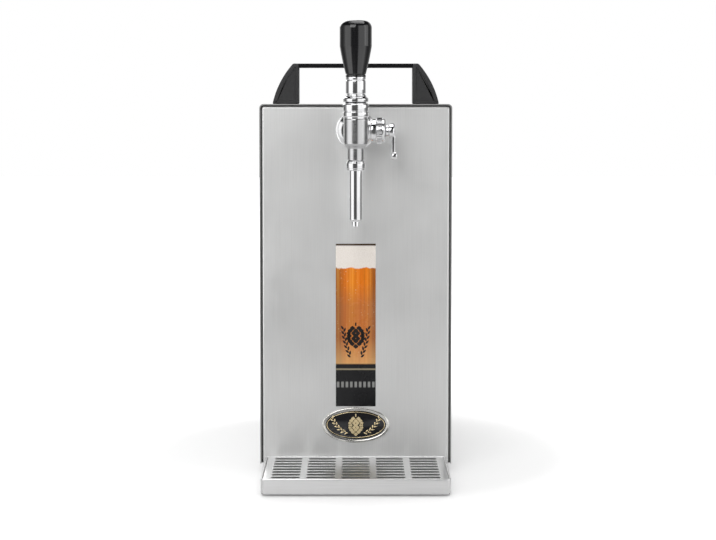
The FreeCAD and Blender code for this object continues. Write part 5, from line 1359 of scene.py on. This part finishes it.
def hop(name, middle, width, height, surface, thickness, fill=0.9):
    """Hop cone: rows of scales set like bricks in an egg-shaped outline."""
    rows = (1, 2, 3, 4, 3, 4, 3, 2)
    pitch = height / (len(rows) + 2.2)
    scales = []
    for row, count in enumerate(rows):
        top = middle[1] - height / 2 + pitch * (row + 2)
        spacing = width * math.sin(math.pi * (0.13 + 0.095 * row)) ** 0.75 / (count + 0.15)
        for i in range(count):
            x = middle[0] + (i - (count - 1) / 2) * spacing
            scales.append(leaf((x, surface, top), min(spacing, width / 3.6) * 0.5 * fill,
                               pitch * 2 * fill, thickness))
    top = middle[1] - height / 2 + pitch * (len(rows) + 1.1)
    stem = slab("Stem", (middle[0] - width * 0.035, surface - thickness, top - pitch * 0.2),
                (middle[0] + width * 0.035, surface, top + pitch * 1.1), 0)
    return merged(name, [*scales, stem])


finish("Dark_ink", (0.010, 0.007, 0.005), 0.0, (0.28, 0.36), 90.0)
label_middle = (label_low.x + label_high.x) / 2
emblem_z = label_low.z + 66.0
emblem = [hop("Cone", (label_middle, emblem_z), 19.0, 25.0, label_low.y + 0.02, 0.06)]
grain = grain_shape(4.4, 0.95, 0.06)
for side in (-1, 1):
    stem = [(label_middle + side * (2.0 + 9.4 * math.sin(0.3 + 1.15 * t / 8)),
             label_low.y - 0.02, emblem_z - 20.0 + 26.0 * t / 8) for t in range(9)]
    emblem.append(barley(stem, grain, 13, 0.5 * side, "Dark_ink"))
bpy.data.objects.remove(grain)
emblem = merged("Label_emblem", emblem)
coated(emblem, "Dark_ink")
done(emblem, "cabinet", "label_print")

# %% [markdown]
# # Badge
# An oval badge of bright metal with a dark enamel field. Its rim is a stack of ellipses, which
# is the pressing recipe again with another ring. A hop cone stands between two barley ears.

# %% Badge
badge_low, badge_high = box_mm("front_badge")
badge_x, _, badge_z = middle_mm("front_badge")
badge_half_x, badge_half_z = (badge_high.x - badge_low.x) / 2, (badge_high.z - badge_low.z) / 2


def oval(name, profile, count=96):
    """Stack of ellipses, each given by its inset from the badge's outline and its depth."""
    turns = [2 * math.pi * i / count for i in range(count)]
    return stacked(name, [[(badge_x + (badge_half_x - inset) * math.cos(turn), y,
                            badge_z + (badge_half_z - inset) * math.sin(turn)) for turn in turns]
                          for inset, y in profile])


front, back = badge_low.y, badge_high.y
profile = [(0.2, back), (0, back - 0.2), (0, front + 0.8), (0.25, front + 0.35), (0.8, front),
           (1.7, front), (2.3, front + 0.3), (2.6, front + 1.0), (3.4, front + 1.1)]
done(oval("Badge", profile), "cabinet", "badge_metal", "front_badge")
field = oval("Badge_field", [(3.2, front + 1.3), (3.2, front + 1.0), (3.3, front + 0.95)])
finish("Badge_enamel", (0.012, 0.012, 0.014), 0.0, (0.08, 0.14), 90.0)
coated(field, "Badge_enamel")
done(field, "cabinet", "badge_metal")

finish("Badge_gold", (0.80, 0.66, 0.40), 1.0, (0.16, 0.26), 150.0)
surface = front + 0.97
line = oval("Line", [(4.3, surface), (4.3, surface - 0.22), (4.45, surface - 0.3),
                     (4.75, surface - 0.3), (4.9, surface - 0.22), (4.9, surface)])
cone = hop("Cone", (badge_x, badge_z - 0.4), 15.5, 21.5, surface + 0.02, 0.4)
grain = grain_shape(3.7, 0.72, 0.5)
ornament = [cone]
for side in (-1, 1):
    stem = [(badge_x + side * (7.5 + 14.0 * (t / 8) ** 0.8), surface - 0.05,
             badge_z - 7.2 + 12.5 * (t / 8) ** 1.7) for t in range(9)]
    ornament.append(barley(stem, grain, 12, 0.62 * side, "Badge_gold"))
bpy.data.objects.remove(grain)
ornament = merged("Badge_ornament", [*ornament, line])
coated(ornament, "Badge_gold")
done(ornament, "cabinet", "badge_metal")
# %% [markdown]
# # Floor and light
# A product shot on white: one pale sweep and soft lights in front, above, at the right and
# behind. To the camera the floor glows white some way off, so that its shadow fades out. Chrome
# shows only what stands around it, so the surroundings that it mirrors are white with a few
# soft dark bands, as dark boards beside a white tent would give.

# %% Bands of white and dark boards round the object
banding, enter, leave = group("Banding", "Shader", {"Direction": ("Vector", (0, 0, 0))},
                              {"Level": ("Color", None)})
parts = parts_of(banding, enter["Direction"])
bearing = maths(banding, "ARCTAN2", parts["X"], parts["Y"])
turned = mapped(banding, bearing, -math.pi, math.pi)
in_front = 0.07
bands = ramp_of(banding, turned, greys(
    (0.0, in_front), (0.08, in_front), (0.115, 1.0), (0.21, 1.0), (0.25, 0.4), (0.29, 0.12),
    (0.37, 0.12), (0.41, 0.42), (0.50, 0.45), (0.60, 0.25), (0.66, 0.12), (0.72, 0.12),
    (0.76, 0.3), (0.80, 0.82), (0.93, 0.82), (0.965, in_front), (1.0, in_front)), "EASE")
banding.links.new(bands, leave["Level"])

# %% Floor
floor_mesh = bpy.data.meshes.new("Floor")
reach = 6
floor_mesh.from_pydata([(-reach, -reach, 0), (reach, -reach, 0), (reach, reach, 0),
                        (-reach, reach, 0)], [], [(0, 1, 2, 3)])
floor = linked("Floor", floor_mesh)
paper = bpy.data.materials.new("Paper")
paper.use_nodes = True
tree = paper.node_tree
shader = tree.nodes["Principled BSDF"]
shader.inputs["Roughness"].default_value = 0.32
seen = node(tree, "ShaderNodeLightPath")
glossy = seen.outputs["Is Glossy Ray"]
where = here(tree)
from_tap = vectors(tree, "ADD", where, (0, -tap_y * MM, 0))
boards = node(tree, "ShaderNodeGroup", {"Direction": from_tap}, node_tree=banding)
distance = vectors(tree, "LENGTH", where, result="Value")
far = mapped(tree, distance, 0.45, 0.8)
near_tone, own_tone = (0.76, 0.76, 0.76), (0.86, 0.86, 0.86)
reflected = blend(tree, far, near_tone, boards.outputs["Level"])
pale = blend(tree, glossy, own_tone, reflected)
tree.links.new(pale, shader.inputs["Base Color"])
direct = maths(tree, "MAXIMUM", seen.outputs["Is Camera Ray"], seen.outputs["Is Transmission Ray"])
glow = mapped(tree, distance, 0.19, 0.45, 0.15, 1.1)
mirrored_glow = vectors(tree, "DOT_PRODUCT", boards.outputs["Level"], (0.6, 0, 0), "Value")
lit = maths(tree, "MULTIPLY", maths(tree, "MULTIPLY", glossy, far), mirrored_glow)
lit = maths(tree, "ADD", lit, maths(tree, "MULTIPLY", direct, glow))
shader.inputs["Emission Color"].default_value = (1, 1, 1, 1)
tree.links.new(lit, shader.inputs["Emission Strength"])
floor_mesh.materials.append(paper)

# %% Surroundings
world = bpy.data.worlds.new("Studio")
world.use_nodes = True
bpy.context.scene.world = world
tree = world.node_tree
ambient = tree.nodes["Background"]
ambient.inputs["Color"].default_value = (1, 1, 1, 1)
ambient.inputs["Strength"].default_value = 0.45
white = node(tree, "ShaderNodeBackground", {"Color": (1, 1, 1, 1), "Strength": 1.0})
direction = node(tree, "ShaderNodeTexCoord").outputs["Generated"]
boards = node(tree, "ShaderNodeGroup", {"Direction": direction}, node_tree=banding)
rise = mapped(tree, parts_of(tree, direction)["Z"], -1.0, 1.0)
storeys = ramp_of(tree, rise, greys(
    (0.0, 0.10), (0.40, 0.6), (0.455, 1.0), (0.70, 1.0), (0.77, 0.05), (0.90, 0.05), (0.95, 0.4),
    (1.0, 0.2)), "EASE")
both = blend(tree, 1.0, boards.outputs["Level"], storeys, "MULTIPLY")
mirrored = node(tree, "ShaderNodeBackground", {"Color": both, "Strength": 1.5})
rays = node(tree, "ShaderNodeLightPath")
clear = maths(tree, "MAXIMUM", rays.outputs["Is Camera Ray"], rays.outputs["Is Transmission Ray"])
first = node(tree, "ShaderNodeMixShader", {0: rays.outputs["Is Glossy Ray"],
                                           1: ambient.outputs[0], 2: mirrored.outputs[0]})
second = node(tree, "ShaderNodeMixShader", {0: clear, 1: first.outputs[0], 2: white.outputs[0]})
tree.links.new(second.outputs[0], tree.nodes["World Output"].inputs["Surface"])

# %% Lamps


def soft_light(name, place, size, power):
    """Square area lamp aimed at the middle of the object, in metres and watts."""
    data = bpy.data.lights.new(name, "AREA")
    data.size = size
    data.energy = power
    lamp = linked(name, data)
    lamp.location = place
    lamp.rotation_euler = (Vector((0, 0, 0.2)) - Vector(place)).to_track_quat("-Z", "Y").to_euler()


soft_light("Front_light", (-0.65, -1.8, 1.2), 1.3, 15)
soft_light("Top_light", (0.2, 0.1, 1.9), 1.5, 16)
soft_light("Side_light", (1.5, -0.3, 0.8), 1.0, 3)
soft_light("Rear_light", (-0.6, 1.7, 1.2), 1.2, 8)

# %% View transform
bpy.context.scene.view_settings.view_transform = "Standard"
